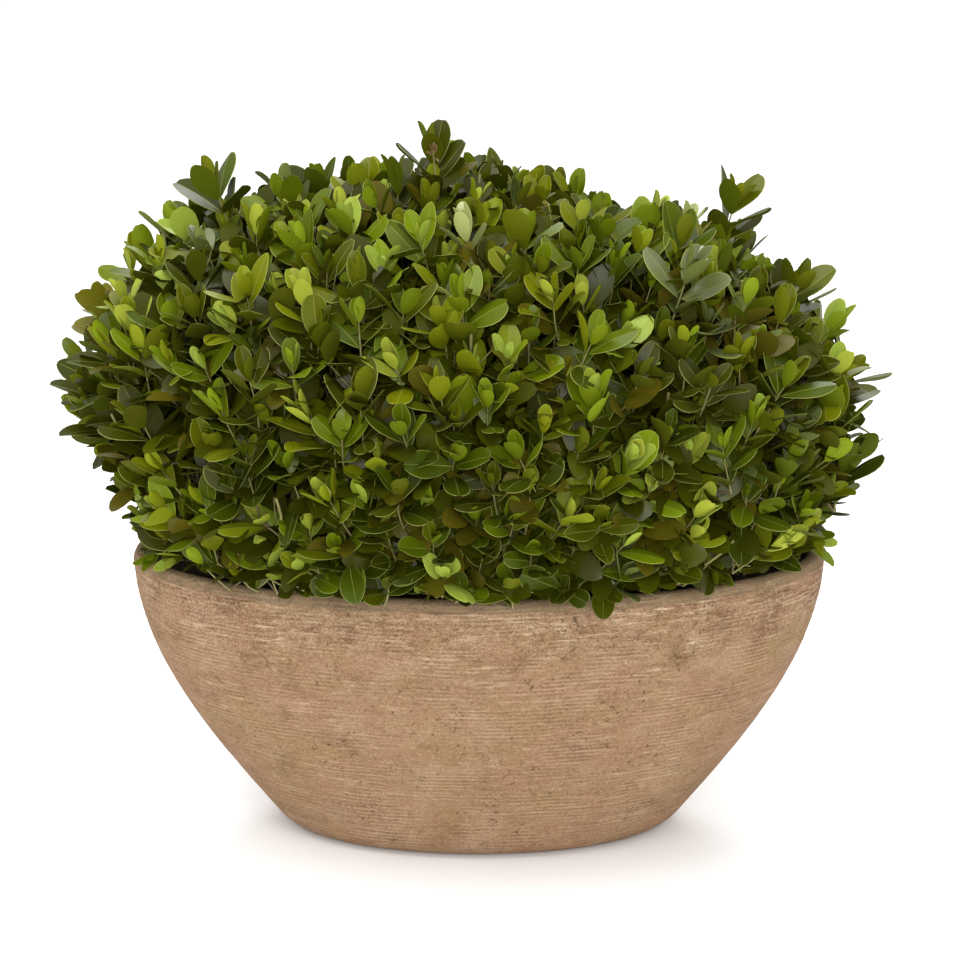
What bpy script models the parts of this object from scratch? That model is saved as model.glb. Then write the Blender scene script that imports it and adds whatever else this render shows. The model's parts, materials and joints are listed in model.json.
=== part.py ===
"""A boxwood bush in an oval clay pot, in metres, +Z up.

The origin is the middle of the pot's flat underside. +X runs along the pot's length, and -Y is
its front. The pot, the soil, the stem, each bough and each mass of foliage is one closed solid.
"""

import math
import random

import bmesh
import bpy
from mathutils import Quaternion, Vector

SEED = 4
GAP = 0.0003  # air between two pieces that meet or rest on each other
UP = Vector((0, 0, 1))
NEARLY_UPRIGHT = 0.9  # the rise of a line from which "across" is worked out from +X instead
SMOOTH_ANGLE = 40  # degrees between two faces of the pot, above which their edge is sharp

# The pot is an oval bowl. Its wall leans out along a quarter of a sine wave.
POT_HEIGHT = 0.138
RIM_HALF_LENGTH = 0.162
RIM_HALF_DEPTH = 0.083
FOOT_HALF_LENGTH = 0.0895
FOOT_HALF_DEPTH = 0.0500
FOOT_ROUNDING = 0.009
FOOT_STEPS = 3
WALL = 0.009
POT_FLOOR = 0.012
POT_SIDES = 48
WALL_STEPS = 7
LIP_STEPS = 5
INNER_STEPS = 4

SOIL_TOP = POT_HEIGHT - 0.005
SOIL_CLEARANCE = 0.0005  # level, so that the gap square to the leaning wall is about GAP

# The stem has eight flat sides, and each ring bough starts square to one of them.
STEM_SIDES = 8
STEM_FOOT = SOIL_TOP + GAP
STEM_TOP = 0.190
STEM_GIRTH = ((0.0, 0.0185), (0.07, 0.0150), (0.22, 0.0128), (0.6, 0.0116), (1.0, 0.0102))

# The crown's outline, which most leaf tips reach, is a dome that rises more from its widest
# level than it drops. A power of two makes an ellipse, and a higher one is nearer a box.
CROWN_CENTRE = Vector((-0.006, 0.0, 0.204))
CROWN_HALF_LENGTH = 0.192
CROWN_HALF_DEPTH = 0.124
CROWN_RISE = 0.117
CROWN_DROP = 0.094
PLAN_POWER = 2.15
SIDE_POWER = 2.5
# Swells and dips of the outline: a direction from the crown's middle, a height and a width.
SWELLS = (
    ((-0.12, -0.03, 1.00), 0.018, 0.20),
    ((0.60, 0.10, 0.80), -0.010, 0.36),
    ((0.90, 0.00, 0.40), -0.015, 0.22),
    ((-0.45, 0.20, 0.90), -0.002, 0.26),
    ((-0.75, 0.10, 0.60), 0.005, 0.22),
    ((-0.91, 0.00, 0.40), -0.004, 0.18),
    ((-0.95, 0.00, -0.25), -0.027, 0.30),
    ((0.97, 0.00, -0.10), -0.008, 0.30),
    ((0.25, 0.70, 0.60), -0.006, 0.35),
    ((-0.30, -0.85, 0.20), 0.005, 0.30),
)

# Foliage hubs: a ring of eight masses, and three on top.
RING_NAMES = ("right", "back_right", "back", "back_left", "left", "front_left", "front", "front_right")
TOP_NAMES = ("top_left", "top", "top_right")
RING_SHARE = 0.62  # of the crown's half length and half depth
RING_HUB_HEIGHT = 0.180
SIDE_INNER_SHARE = 0.62  # of the way to the hub, where the mass begins
END_INNER_SHARE = 0.56  # the same for the masses at the two ends
TOP_HUB_SPACING = 0.088
TOP_HUB_HEIGHT = 0.275
TOP_FLOOR = 0.232

# Boughs, each tapering from the stem to its mass.
BOUGH_SIDES = 6
BOUGH_STEPS = 3
BOUGH_FOOT_RADIUS = 0.0036
BOUGH_TIP_RADIUS = 0.0027
RING_BOUGH_LEVELS = (0.146, 0.160)  # even and odd boughs leave the stem at these heights
RING_BOUGH_EASE = 0.4  # of its length, how far a ring bough keeps to the way it leaves and arrives
TOP_BOUGH_LEVEL = 0.182
TOP_BOUGH_SPREAD = 0.050
TOP_BOUGH_LEAVE = 0.020  # the same for the top boughs, in metres
TOP_BOUGH_ARRIVE = 0.027
MIDDLE_BOUGH_EASE = 0.012
LIMB_END = 0.002  # the straight piece at each end of a limb

# A mass: a core, then twigs and leaves that stand out of it.
CORE_DEPTH = 0.026  # below the crown's outline
CORE_SIDE_GAP = 0.0012  # from the next mass's space
CORE_ABOVE_RIM = 0.0015
CORE_LEVELS = (0.005, 0.14, 0.34, 0.56, 0.76, 0.92)  # shares of the way from its foot to its peak
CORE_SIDES = 12
REACH_HALVINGS = 24
PEAK_TRIES = 240
GOLDEN_TURN = math.pi * (3 - math.sqrt(5))
TIP_SPACING = 0.0350
TIP_SIDE_GAP = 0.0045
TIP_PLACES = 3000  # places that a twig may end, of which the evenest are kept
TIP_DEPTH = 0.0245
TIP_UNEVEN = 0.004
STRAY_SIDEWAYS = 0.015
# A shoot points away from a place in the pot's mouth below it, at these shares of its own x and y.
FOCUS_SHARE_X = 0.50
FOCUS_SHARE_Y = 0.30
FOCUS_DEPTH = 0.015
LOWEST_TIP = POT_HEIGHT + 0.0045
FORK_SHARE = 0.42
FORK_JITTER = 0.003
FORK_RETREAT = 0.25  # of the way back, where a fork comes out of its space
SHOOT_LENGTH = 0.014  # the straight end of a twig, which bears the leaves
TWIG_RADIUS = 0.0013
TWIG_SIDES = 3
TWIG_TAPER = 0.8
TWIG_THICKENING = 0.3  # a twig's radius grows with this power of the tips that it carries
HUB_RADIUS = 0.00195  # of a mass's stem, at its hub
SHOOT_ROOM = 0.0026

LEAF_LENGTH = 0.0290
LEAF_WIDTH = 0.0162
LEAF_THICKNESS = 0.0012
LEAF_WIDEST = 0.6  # of its length, where it is also thickest
LEAF_OUTLINE = ((0.0, 0.0), (0.56, 0.5), (0.97, 0.22), (0.97, -0.22), (0.56, -0.5))
LEAF_PAIRS = ((0.001, 30), (0.006, 52), (0.012, 72))  # below the twig's tip, and degrees from its line
LEAF_LEAN_UNEVEN = 8  # degrees
LEAF_SIZES = (0.88, 1.06)
LEAF_TURNS = 6  # ways round the twig that are tried, to fit the most leaves
LEAF_TESTS = 8  # places along a leaf that are tested against the pot
LEAF_ROOM = 0.0004
POT_CLEARANCE = 0.0012
SAME_POINT = 5e-7  # corners this close are one
RIM_OVERHANG = 0.010  # how far below the rim's top a leaf may hang outside the pot

# Shoots whose leaves pass the outline: how far along the pot and how high they reach.
STRAY_REACHES = (
    (-0.023, 0.3445),
    (-0.124, 0.3270),
    (0.126, 0.3180),
    (0.157, 0.2800),
    (0.184, 0.2290),
    (0.196, 0.2060),
    (-0.195, 0.2110),
    (-0.194, 0.2400),
)


def clear_scene():
    for item in list(bpy.data.objects):
        bpy.data.objects.remove(item)


def material(name, colour, roughness):
    made = bpy.data.materials.new(name)
    made.use_nodes = True
    shader = made.node_tree.nodes["Principled BSDF"]
    shader.inputs["Base Color"].default_value = (*colour, 1.0)
    shader.inputs["Roughness"].default_value = roughness
    shader.inputs["Metallic"].default_value = 0.0
    return made


def add_object(name, corners, faces, finish, smooth=False):
    mesh = bpy.data.meshes.new(name)
    mesh.from_pydata([tuple(c) for c in corners], [], faces)
    mesh.materials.append(finish)
    if smooth:
        mesh.shade_smooth()
        mesh.set_sharp_from_angle(angle=math.radians(SMOOTH_ANGLE))
    made = bpy.data.objects.new(name, mesh)
    bpy.context.scene.collection.objects.link(made)
    return made


def skin(rings):
    """Corners and faces of a closed shape through rings of equal count, with a flat face at each end."""
    count = len(rings[0])
    corners = [corner for ring in rings for corner in ring]
    faces = [tuple(reversed(range(count)))]
    for level in range(len(rings) - 1):
        low, high = level * count, (level + 1) * count
        for i in range(count):
            j = (i + 1) % count
            faces.append((low + i, low + j, high + j, high + i))
    last = (len(rings) - 1) * count
    faces.append(tuple(range(last, last + count)))
    return corners, faces


def pot_half_sizes(height):
    """The pot's outer half length and half depth at a height."""
    lean = math.sin(math.pi / 2 * min(max(height / POT_HEIGHT, 0.0), 1.0))
    return (
        FOOT_HALF_LENGTH + (RIM_HALF_LENGTH - FOOT_HALF_LENGTH) * lean,
        FOOT_HALF_DEPTH + (RIM_HALF_DEPTH - FOOT_HALF_DEPTH) * lean,
    )


def oval(height, inset):
    """One level ring of the pot or the soil, inset from the pot's outer wall."""
    half_length, half_depth = pot_half_sizes(height)
    turns = [2 * math.pi * i / POT_SIDES for i in range(POT_SIDES)]
    return [
        Vector(((half_length - inset) * math.cos(t), (half_depth - inset) * math.sin(t), height))
        for t in turns
    ]


def inner_heights():
    """Heights of the inner wall's rings, from the floor to where the lip begins."""
    top = POT_HEIGHT - WALL / 2
    return [POT_FLOOR + (top - POT_FLOOR) * i / INNER_STEPS for i in range(INNER_STEPS + 1)]


def make_pot(finish):
    rings = []
    for i in range(FOOT_STEPS):
        turn = math.pi / 2 * i / FOOT_STEPS
        rings.append(oval(FOOT_ROUNDING * (1 - math.cos(turn)), FOOT_ROUNDING * (1 - math.sin(turn))))
    lip_start = POT_HEIGHT - WALL / 2
    for i in range(WALL_STEPS + 1):
        rings.append(oval(FOOT_ROUNDING + (lip_start - FOOT_ROUNDING) * i / WALL_STEPS, 0.0))
    for i in range(1, LIP_STEPS):
        turn = math.pi * i / LIP_STEPS
        rings.append(oval(lip_start + WALL / 2 * math.sin(turn), WALL / 2 * (1 - math.cos(turn))))
    for height in reversed(inner_heights()):
        rings.append(oval(height, WALL))
    return add_object("pot", *skin(rings), finish, smooth=True)


def make_soil(finish):
    heights = [h for h in inner_heights() if h < SOIL_TOP]
    heights[0] += GAP
    rings = [oval(h, WALL + SOIL_CLEARANCE) for h in [*heights, SOIL_TOP]]
    return add_object("soil", *skin(rings), finish)


def square_to(line):
    """A direction square to a line."""
    return line.cross(UP if abs(line.z) < NEARLY_UPRIGHT else Vector((1, 0, 0))).normalized()


def tube(path, radii, sides, turn=0.0):
    """Corners and faces of a limb with flat ends, each square to the path there."""
    rings = []
    across = None
    for i, centre in enumerate(path):
        before, after = path[max(i - 1, 0)], path[min(i + 1, len(path) - 1)]
        along = (after - before).normalized()
        if across is None:
            across = square_to(along)
        across = (across - along * across.dot(along)).normalized()
        beside = along.cross(across)
        angles = [turn + 2 * math.pi * k / sides for k in range(sides)]
        rings.append([centre + radii[i] * (across * math.cos(a) + beside * math.sin(a)) for a in angles])
    return skin(rings)


def curve_points(start, leave, arrive, end, steps):
    """Points of a cubic curve that leaves start for leave and comes to end from arrive."""
    points = []
    for i in range(steps + 1):
        t = i / steps
        s = 1 - t
        points.append(start * s**3 + leave * (3 * s * s * t) + arrive * (3 * s * t * t) + end * t**3)
    # The ends are square to the way the limb leaves and arrives, as its first and last pieces are.
    points.insert(1, start + (leave - start).normalized() * LIMB_END)
    points.insert(-1, end - (end - arrive).normalized() * LIMB_END)
    return points


def stem_radius(height):
    share = (height - STEM_FOOT) / (STEM_TOP - STEM_FOOT)
    for (low, wide), (high, narrow) in zip(STEM_GIRTH, STEM_GIRTH[1:]):
        if share <= high:
            return wide + (narrow - wide) * (share - low) / (high - low)
    return STEM_GIRTH[-1][1]


def make_stem(finish):
    heights = [STEM_FOOT + share * (STEM_TOP - STEM_FOOT) for share, _ in STEM_GIRTH]
    path = [Vector((0, 0, h)) for h in heights]
    half_side = math.pi / STEM_SIDES  # turns a flat side, not a corner, to the right
    return add_object("stem", *tube(path, [r for _, r in STEM_GIRTH], STEM_SIDES, half_side), finish)


def crown_reach(direction):
    """How far the crown reaches from its middle, in a direction of length one."""
    plan = (
        abs(direction.x / CROWN_HALF_LENGTH) ** PLAN_POWER
        + abs(direction.y / CROWN_HALF_DEPTH) ** PLAN_POWER
    ) ** (1 / PLAN_POWER)
    height = CROWN_RISE if direction.z > 0 else CROWN_DROP
    plain = (plan**SIDE_POWER + abs(direction.z / height) ** SIDE_POWER) ** (-1 / SIDE_POWER)
    swell = 0.0
    for toward, height, width in SWELLS:
        swell += height * math.exp(-((direction - Vector(toward).normalized()).length / width) ** 2)
    return plain + swell


def depth_in_crown(point):
    """How far a point lies inside the crown's outline, along the line from the crown's middle."""
    offset = point - CROWN_CENTRE
    if offset.length < SAME_POINT:
        return CROWN_RISE
    return crown_reach(offset.normalized()) - offset.length


def hubs():
    """The middle of each mass of foliage, by name."""
    found = {}
    for i, name in enumerate(RING_NAMES):
        turn = 2 * math.pi * i / len(RING_NAMES)
        x = CROWN_CENTRE.x + RING_SHARE * CROWN_HALF_LENGTH * math.cos(turn)
        y = CROWN_CENTRE.y + RING_SHARE * CROWN_HALF_DEPTH * math.sin(turn)
        found[name] = Vector((x, y, RING_HUB_HEIGHT))
    for i, name in enumerate(TOP_NAMES):
        found[name] = Vector((CROWN_CENTRE.x + (i - 1) * TOP_HUB_SPACING, 0, TOP_HUB_HEIGHT))
    return found


def inner_point(name, hub):
    """Where a ring mass begins, on the level line from the stem to its hub."""
    share = END_INNER_SHARE if name in ("left", "right") else SIDE_INNER_SHARE
    return Vector((hub.x * share, hub.y * share, hub.z))


def spaces(middles):
    """The space of each mass: the point and the inward normal of each flat that bounds it."""
    found = {}
    for name, hub in middles.items():
        others = [other for other in middles.values() if other != hub]
        flats = [((hub + other) / 2, (hub - other).normalized()) for other in others]
        if name in TOP_NAMES:
            flats.append((Vector((0, 0, TOP_FLOOR)), UP))
        else:
            flats.append((inner_point(name, hub), Vector((hub.x, hub.y, 0)).normalized()))
        found[name] = flats
    return found


def room(flats, point):
    """The distance from a point to the nearest flat of a space, negative outside it."""
    return min((point - on).dot(inward) for on, inward in flats)


def clear_of_pot(point):
    """True where a point keeps clear of the pot and the soil, above them or beside the rim."""
    if point.z > POT_HEIGHT + POT_CLEARANCE:
        return True
    half_length, half_depth = pot_half_sizes(point.z)
    share = math.hypot(point.x / half_length, point.y / half_depth)
    inside = 1 - (WALL + POT_CLEARANCE) / half_depth
    if share < inside:
        return point.z > SOIL_TOP + POT_CLEARANCE
    return share > 1 + POT_CLEARANCE / half_depth and point.z > POT_HEIGHT - RIM_OVERHANG


def heading_at(point):
    """The way that a shoot grows where it comes out of the crown: up and out from the pot's mouth."""
    focus = Vector((point.x * FOCUS_SHARE_X, point.y * FOCUS_SHARE_Y, POT_HEIGHT - FOCUS_DEPTH))
    return (point - focus).normalized()


def tip_below(reached):
    """The end of a twig whose leaves reach this point."""
    return reached - heading_at(reached) * TIP_DEPTH


def spread_tips(bounds, chance):
    """Points where twigs end: the stray shoots, then always the place farthest from the others."""
    tips = [tip_below(Vector((x, chance.uniform(-1, 1) * STRAY_SIDEWAYS, z))) for x, z in STRAY_REACHES]
    places = []
    while len(places) < TIP_PLACES:
        direction = Vector([chance.gauss(0, 1) for _ in range(3)]).normalized()
        reach = crown_reach(direction) + chance.uniform(-1, 0) * TIP_UNEVEN
        place = tip_below(CROWN_CENTRE + direction * reach)
        if place.z > LOWEST_TIP and max(room(flats, place) for flats in bounds.values()) > TIP_SIDE_GAP:
            places.append(place)
    gaps = [min((place - tip).length for tip in tips) for place in places]
    while max(gaps) > TIP_SPACING:
        tips.append(places[gaps.index(max(gaps))])
        gaps = [min(gap, (place - tips[-1]).length) for gap, place in zip(gaps, places)]
    return tips


def twig_radius(carried):
    """A twig's radius at its foot, from how many tips it carries."""
    return TWIG_RADIUS * carried**TWIG_THICKENING


def grow(start, tips, flats, chance):
    """Straight twigs from start to all tips, as (from, to, tips carried): a twig heads for the
    middle of its tips, forks, and shares them out across their widest spread."""
    if len(tips) == 1:
        return [(start, tips[0], 1)]
    middle = sum(tips, Vector()) / len(tips)
    fork = start.lerp(middle, FORK_SHARE) + Vector([chance.uniform(-1, 1) for _ in range(3)]) * FORK_JITTER
    while room(flats, fork) < twig_radius(len(tips)) + LEAF_ROOM:
        fork = fork.lerp(start, FORK_RETREAT)
    spread = max((tip - middle for tip in tips), key=lambda offset: offset.length)
    ordered = sorted(tips, key=lambda tip: (tip - middle).dot(spread))
    half = len(ordered) // 2
    twigs = [(start, fork, len(tips))]
    return twigs + grow(fork, ordered[:half], flats, chance) + grow(fork, ordered[half:], flats, chance)


def leaf_corners(root, along, face, size):
    """A thin leaf: an outline with one raised point above its middle and one below."""
    side = along.cross(face)
    length, width = LEAF_LENGTH * size, LEAF_WIDTH * size
    outline = [root + along * (length * a) + side * (width * b) for a, b in LEAF_OUTLINE]
    middle = root + along * (length * LEAF_WIDEST)
    return [*outline, middle + face * (LEAF_THICKNESS / 2), middle - face * (LEAF_THICKNESS / 2)]


def leaf_faces():
    count = len(LEAF_OUTLINE)
    above, below = count, count + 1
    faces = []
    for i in range(count):
        j = (i + 1) % count
        faces.append((i, j, above))
        faces.append((j, i, below))
    return faces


def leaf_fits(corners, flats):
    """True where a leaf stays in its mass's space and clear of the pot, tested all over its blade."""
    outline = corners[: len(LEAF_OUTLINE)]
    if min(room(flats, corner) for corner in corners) < LEAF_ROOM:
        return False
    root = outline[0]
    for corner in outline:
        if not all(clear_of_pot(root.lerp(corner, (i + 1) / LEAF_TESTS)) for i in range(LEAF_TESTS)):
            return False
    return clear_of_pot(outline[1].lerp(outline[4], 0.5)) and clear_of_pot(outline[2].lerp(outline[3], 0.5))


def leaves_on(tip, line, flats, chance):
    """Leaves in crossed pairs on the end of a twig that runs along line, as lists of corners."""
    side = square_to(line)
    first_turn = chance.uniform(0, math.pi)
    looks = [
        (chance.uniform(-1, 1) * LEAF_LEAN_UNEVEN, chance.uniform(*LEAF_SIZES))
        for _ in range(2 * len(LEAF_PAIRS))
    ]
    best = []
    for turned in range(LEAF_TURNS):
        found = []
        for i, (more, size) in enumerate(looks):
            back, degrees = LEAF_PAIRS[i // 2]
            turn = first_turn + math.pi * (turned / LEAF_TURNS + i + (i // 2) / 2)
            out = side.copy()
            out.rotate(Quaternion(line, turn))
            spread = math.radians(degrees + more)
            along = line * math.cos(spread) + out * math.sin(spread)
            face = line * math.sin(spread) - out * math.cos(spread)
            corners = leaf_corners(tip - line * back, along, face, size)
            if leaf_fits(corners, flats):
                found.append(corners)
        best = max(best, found, key=len)
    return best


def core_reach(start, direction, flats):
    """How far a mass's core reaches from a point in it, inside the space and below the outline."""
    low, high = 0.0, CROWN_HALF_LENGTH
    for _ in range(REACH_HALVINGS):
        middle = (low + high) / 2
        point = start + direction * middle
        free = (
            room(flats, point) > CORE_SIDE_GAP
            and depth_in_crown(point) > CORE_DEPTH
            and point.z > POT_HEIGHT + CORE_ABOVE_RIM
        )
        low, high = (middle, high) if free else (low, middle)
    return low


def level_direction(turn):
    return Vector((math.cos(turn), math.sin(turn), 0))


def core_peak(hub, flats):
    """The highest point that a core reaches, of those seen from its hub."""
    peak = hub
    for i in range(PEAK_TRIES):
        rise = (i + 0.5) / PEAK_TRIES
        direction = level_direction(i * GOLDEN_TURN) * math.sqrt(1 - rise * rise) + UP * rise
        point = hub + direction * core_reach(hub, direction, flats)
        peak = max(peak, point, key=lambda corner: corner.z)
    return peak


def core_shape(hub, flats):
    """A lump round a hub: level rings of corners from its flat foot to its peak."""
    foot = hub - UP * core_reach(hub, -UP, flats)
    peak = core_peak(hub, flats)
    corners = []
    for level, share in enumerate(CORE_LEVELS):
        centre = foot.lerp(peak, share)
        for i in range(CORE_SIDES):
            direction = level_direction(2 * math.pi * (i + 0.5 * (level % 2)) / CORE_SIDES)
            corners.append(centre + direction * core_reach(centre, direction, flats))
    corners.append(peak)
    faces = [tuple(reversed(range(CORE_SIDES)))]
    for i in range(CORE_SIDES):
        j = (i + 1) % CORE_SIDES
        for level in range(len(CORE_LEVELS) - 1):
            low, high = level * CORE_SIDES, (level + 1) * CORE_SIDES
            if level % 2 == 0:  # the next ring is turned half a side ahead of this one
                faces += [(low + i, low + j, high + i), (low + j, high + j, high + i)]
            else:
                faces += [(low + i, high + j, high + i), (low + i, low + j, high + j)]
        last = (len(CORE_LEVELS) - 1) * CORE_SIDES
        faces.append((last + i, last + j, len(corners) - 1))
    return corners, faces


def keep_outer_shell(shape):
    """Leaves the largest of a mesh's closed shells: fills sealed hollows and drops loose scraps,
    and also what hangs on by an edge only, where four faces meet."""
    unseen = set(shape.faces)
    shells = []
    while unseen:
        front = [unseen.pop()]
        shell = []
        while front:
            face = front.pop()
            shell.append(face)
            simple_edges = [edge for edge in face.edges if len(edge.link_faces) == 2]
            beside = {other for edge in simple_edges for other in edge.link_faces} & unseen
            unseen -= beside
            front.extend(beside)
        shells.append(shell)
    shells.sort(key=len)
    for shell in shells[:-1]:
        bmesh.ops.delete(shape, geom=shell, context="FACES")


def distance_to(piece, point):
    return min((corner.co - point).length for corner in piece.data.vertices)


def fuse(body, growth):
    """Joins the growth into body with one Boolean union and removes it. Where the joined skin
    meets itself along an edge, the nearest piece of the growth is left out."""
    group = bpy.data.collections.new(body.name + "_growth")
    bpy.context.scene.collection.children.link(group)
    for piece in growth:
        bpy.context.scene.collection.objects.unlink(piece)
        group.objects.link(piece)
    union = body.modifiers.new("union", "BOOLEAN")
    union.operation = "UNION"
    union.operand_type = "COLLECTION"
    union.collection = group
    union.solver = "MANIFOLD"
    faults = True
    while faults:
        joined = bpy.data.meshes.new_from_object(body.evaluated_get(bpy.context.evaluated_depsgraph_get()))
        shape = bmesh.new()
        shape.from_mesh(joined)
        bmesh.ops.triangulate(shape, faces=shape.faces)
        keep_outer_shell(shape)
        bmesh.ops.remove_doubles(shape, verts=shape.verts, dist=SAME_POINT)
        shape.to_mesh(joined)
        faults = [edge.verts[0].co.copy() for edge in shape.edges if len(edge.link_faces) != 2]
        shape.free()
        if faults:
            bpy.data.objects.remove(min(group.objects, key=lambda piece: distance_to(piece, faults[0])))
    body.modifiers.remove(union)
    body.data = joined
    for piece in list(group.objects):
        bpy.data.objects.remove(piece)
    bpy.data.collections.remove(group)


def make_mass(name, hub, flats, root, heading, tips, finish, chance):
    """One mass of foliage: a core with a stem that starts at root, and twigs and leaves round it."""
    body = add_object("foliage_" + name, *core_shape(hub, flats), finish)
    stem_path = [root, root + heading * LIMB_END, hub]
    stem = tube(stem_path, [BOUGH_TIP_RADIUS, BOUGH_TIP_RADIUS, HUB_RADIUS], BOUGH_SIDES)
    growth = [add_object(name + "_stem", *stem, finish)]
    for start, end, carried in grow(hub, tips, flats, chance):
        path = [start, end]
        radii = [twig_radius(carried), TWIG_RADIUS * TWIG_TAPER]
        if carried == 1:
            bend = end - heading_at(end) * SHOOT_LENGTH
            if room(flats, bend) > SHOOT_ROOM and clear_of_pot(bend - UP * TWIG_RADIUS):
                path.insert(1, bend)
                radii.insert(1, TWIG_RADIUS)
            for corners in leaves_on(end, (end - path[-2]).normalized(), flats, chance):
                growth.append(add_object(name + "_leaf", corners, leaf_faces(), finish))
        growth.append(add_object(name + "_twig", *tube(path, radii, TWIG_SIDES), finish))
    fuse(body, growth)
    return body


def make_bough(name, start, leave, arrive, end, finish):
    """One limb from the stem to where its mass begins."""
    path = curve_points(start, leave, arrive, end, BOUGH_STEPS)
    radii = [
        BOUGH_FOOT_RADIUS + (BOUGH_TIP_RADIUS - BOUGH_FOOT_RADIUS) * i / (len(path) - 1)
        for i in range(len(path))
    ]
    return add_object("bough_" + name, *tube(path, radii, BOUGH_SIDES), finish)


def stem_side(level):
    """How far a bough that leaves at this height starts from the stem's middle."""
    flat_side = stem_radius(level - BOUGH_FOOT_RADIUS) * math.cos(math.pi / STEM_SIDES)
    return flat_side + GAP


def bough_routes(middles):
    """The four points of each bough's curve, by the name of its mass."""
    routes = {}
    for i, name in enumerate(RING_NAMES):
        hub = middles[name]
        level = RING_BOUGH_LEVELS[i % 2]
        square = level_direction(2 * math.pi * i / len(RING_NAMES))
        outward = Vector((hub.x, hub.y, 0)).normalized()
        start = square * stem_side(level) + UP * level
        end = inner_point(name, hub)
        ease = (end - start).length * RING_BOUGH_EASE
        routes[name] = (start, start + square * ease, end - outward * ease, end)
    for i, name in enumerate(TOP_NAMES):
        away = Vector((i - 1, 0, 0))
        end = Vector((CROWN_CENTRE.x, 0, TOP_FLOOR)) + away * TOP_BOUGH_SPREAD
        if name == "top":
            start = UP * (STEM_TOP + GAP)
            routes[name] = (start, start + UP * MIDDLE_BOUGH_EASE, end - UP * MIDDLE_BOUGH_EASE, end)
        else:
            start = away * stem_side(TOP_BOUGH_LEVEL) + UP * TOP_BOUGH_LEVEL
            routes[name] = (start, start + away * TOP_BOUGH_LEAVE, end - UP * TOP_BOUGH_ARRIVE, end)
    return routes


def main():
    clear_scene()
    chance = random.Random(SEED)
    clay = material("clay", (0.42, 0.27, 0.155), 0.85)
    earth = material("earth", (0.035, 0.022, 0.014), 0.95)
    bark = material("bark", (0.13, 0.10, 0.065), 0.85)
    leaf_green = material("leaf_green", (0.10, 0.15, 0.025), 0.45)

    make_pot(clay)
    make_soil(earth)
    make_stem(bark)

    middles = hubs()
    bounds = spaces(middles)
    routes = bough_routes(middles)
    tips = spread_tips(bounds, chance)
    for name, hub in middles.items():
        start, leave, arrive, end = routes[name]
        make_bough(name, start, leave, arrive, end, bark)
        own = [tip for tip in tips if room(bounds[name], tip) > TWIG_RADIUS + LEAF_ROOM]
        heading = (end - arrive).normalized()
        make_mass(name, hub, bounds[name], end + heading * GAP, heading, own, leaf_green, chance)


main()
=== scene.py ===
"""The boxwood bush in its oval clay pot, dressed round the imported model.

Everything is in metres. The origin is the middle of the pot's flat underside, +X runs along the
pot's length, -Y is its front and +Z is up.
"""

import sys

import json
import logging
import math
import random
from abc import ABC, abstractmethod
from dataclasses import dataclass, field
from enum import Enum
from typing import Any, Optional, Sequence, Union

import bpy
import numpy as np
from mathutils import Matrix, Quaternion, Vector, noise

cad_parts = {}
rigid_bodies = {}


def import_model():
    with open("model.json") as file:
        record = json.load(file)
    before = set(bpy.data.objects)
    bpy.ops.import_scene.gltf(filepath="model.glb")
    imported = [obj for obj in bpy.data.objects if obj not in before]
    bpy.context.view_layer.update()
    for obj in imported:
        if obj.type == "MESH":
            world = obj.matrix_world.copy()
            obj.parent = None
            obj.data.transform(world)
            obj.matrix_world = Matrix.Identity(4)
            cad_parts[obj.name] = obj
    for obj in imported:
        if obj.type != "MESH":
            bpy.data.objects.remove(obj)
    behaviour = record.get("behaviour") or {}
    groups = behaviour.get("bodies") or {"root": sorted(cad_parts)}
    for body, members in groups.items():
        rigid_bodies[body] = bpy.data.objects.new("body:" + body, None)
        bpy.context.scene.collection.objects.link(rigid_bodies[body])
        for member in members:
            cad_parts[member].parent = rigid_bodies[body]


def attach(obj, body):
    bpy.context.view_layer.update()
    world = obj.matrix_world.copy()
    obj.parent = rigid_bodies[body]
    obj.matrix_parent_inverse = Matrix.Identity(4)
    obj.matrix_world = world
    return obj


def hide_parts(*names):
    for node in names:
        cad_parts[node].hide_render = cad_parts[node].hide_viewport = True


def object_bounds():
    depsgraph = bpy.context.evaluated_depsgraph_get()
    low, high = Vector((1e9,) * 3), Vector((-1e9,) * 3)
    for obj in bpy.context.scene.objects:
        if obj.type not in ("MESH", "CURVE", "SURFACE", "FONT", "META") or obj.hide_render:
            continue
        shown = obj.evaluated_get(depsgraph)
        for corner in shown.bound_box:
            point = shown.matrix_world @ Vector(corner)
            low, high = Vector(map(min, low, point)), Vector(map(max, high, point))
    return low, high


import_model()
cad_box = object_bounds()

log = logging.getLogger("boxwood")

Colour = tuple[float, float, float]
Levels = tuple[float, float]
Flat = tuple[Vector, Vector]  # a point on a flat, and the flat's inward normal
BODY = "root"
UP = Vector((0, 0, 1))
CLEARANCE = 0.0008  # from the plant to the clay and the soil


# Node trees written as Python


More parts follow.
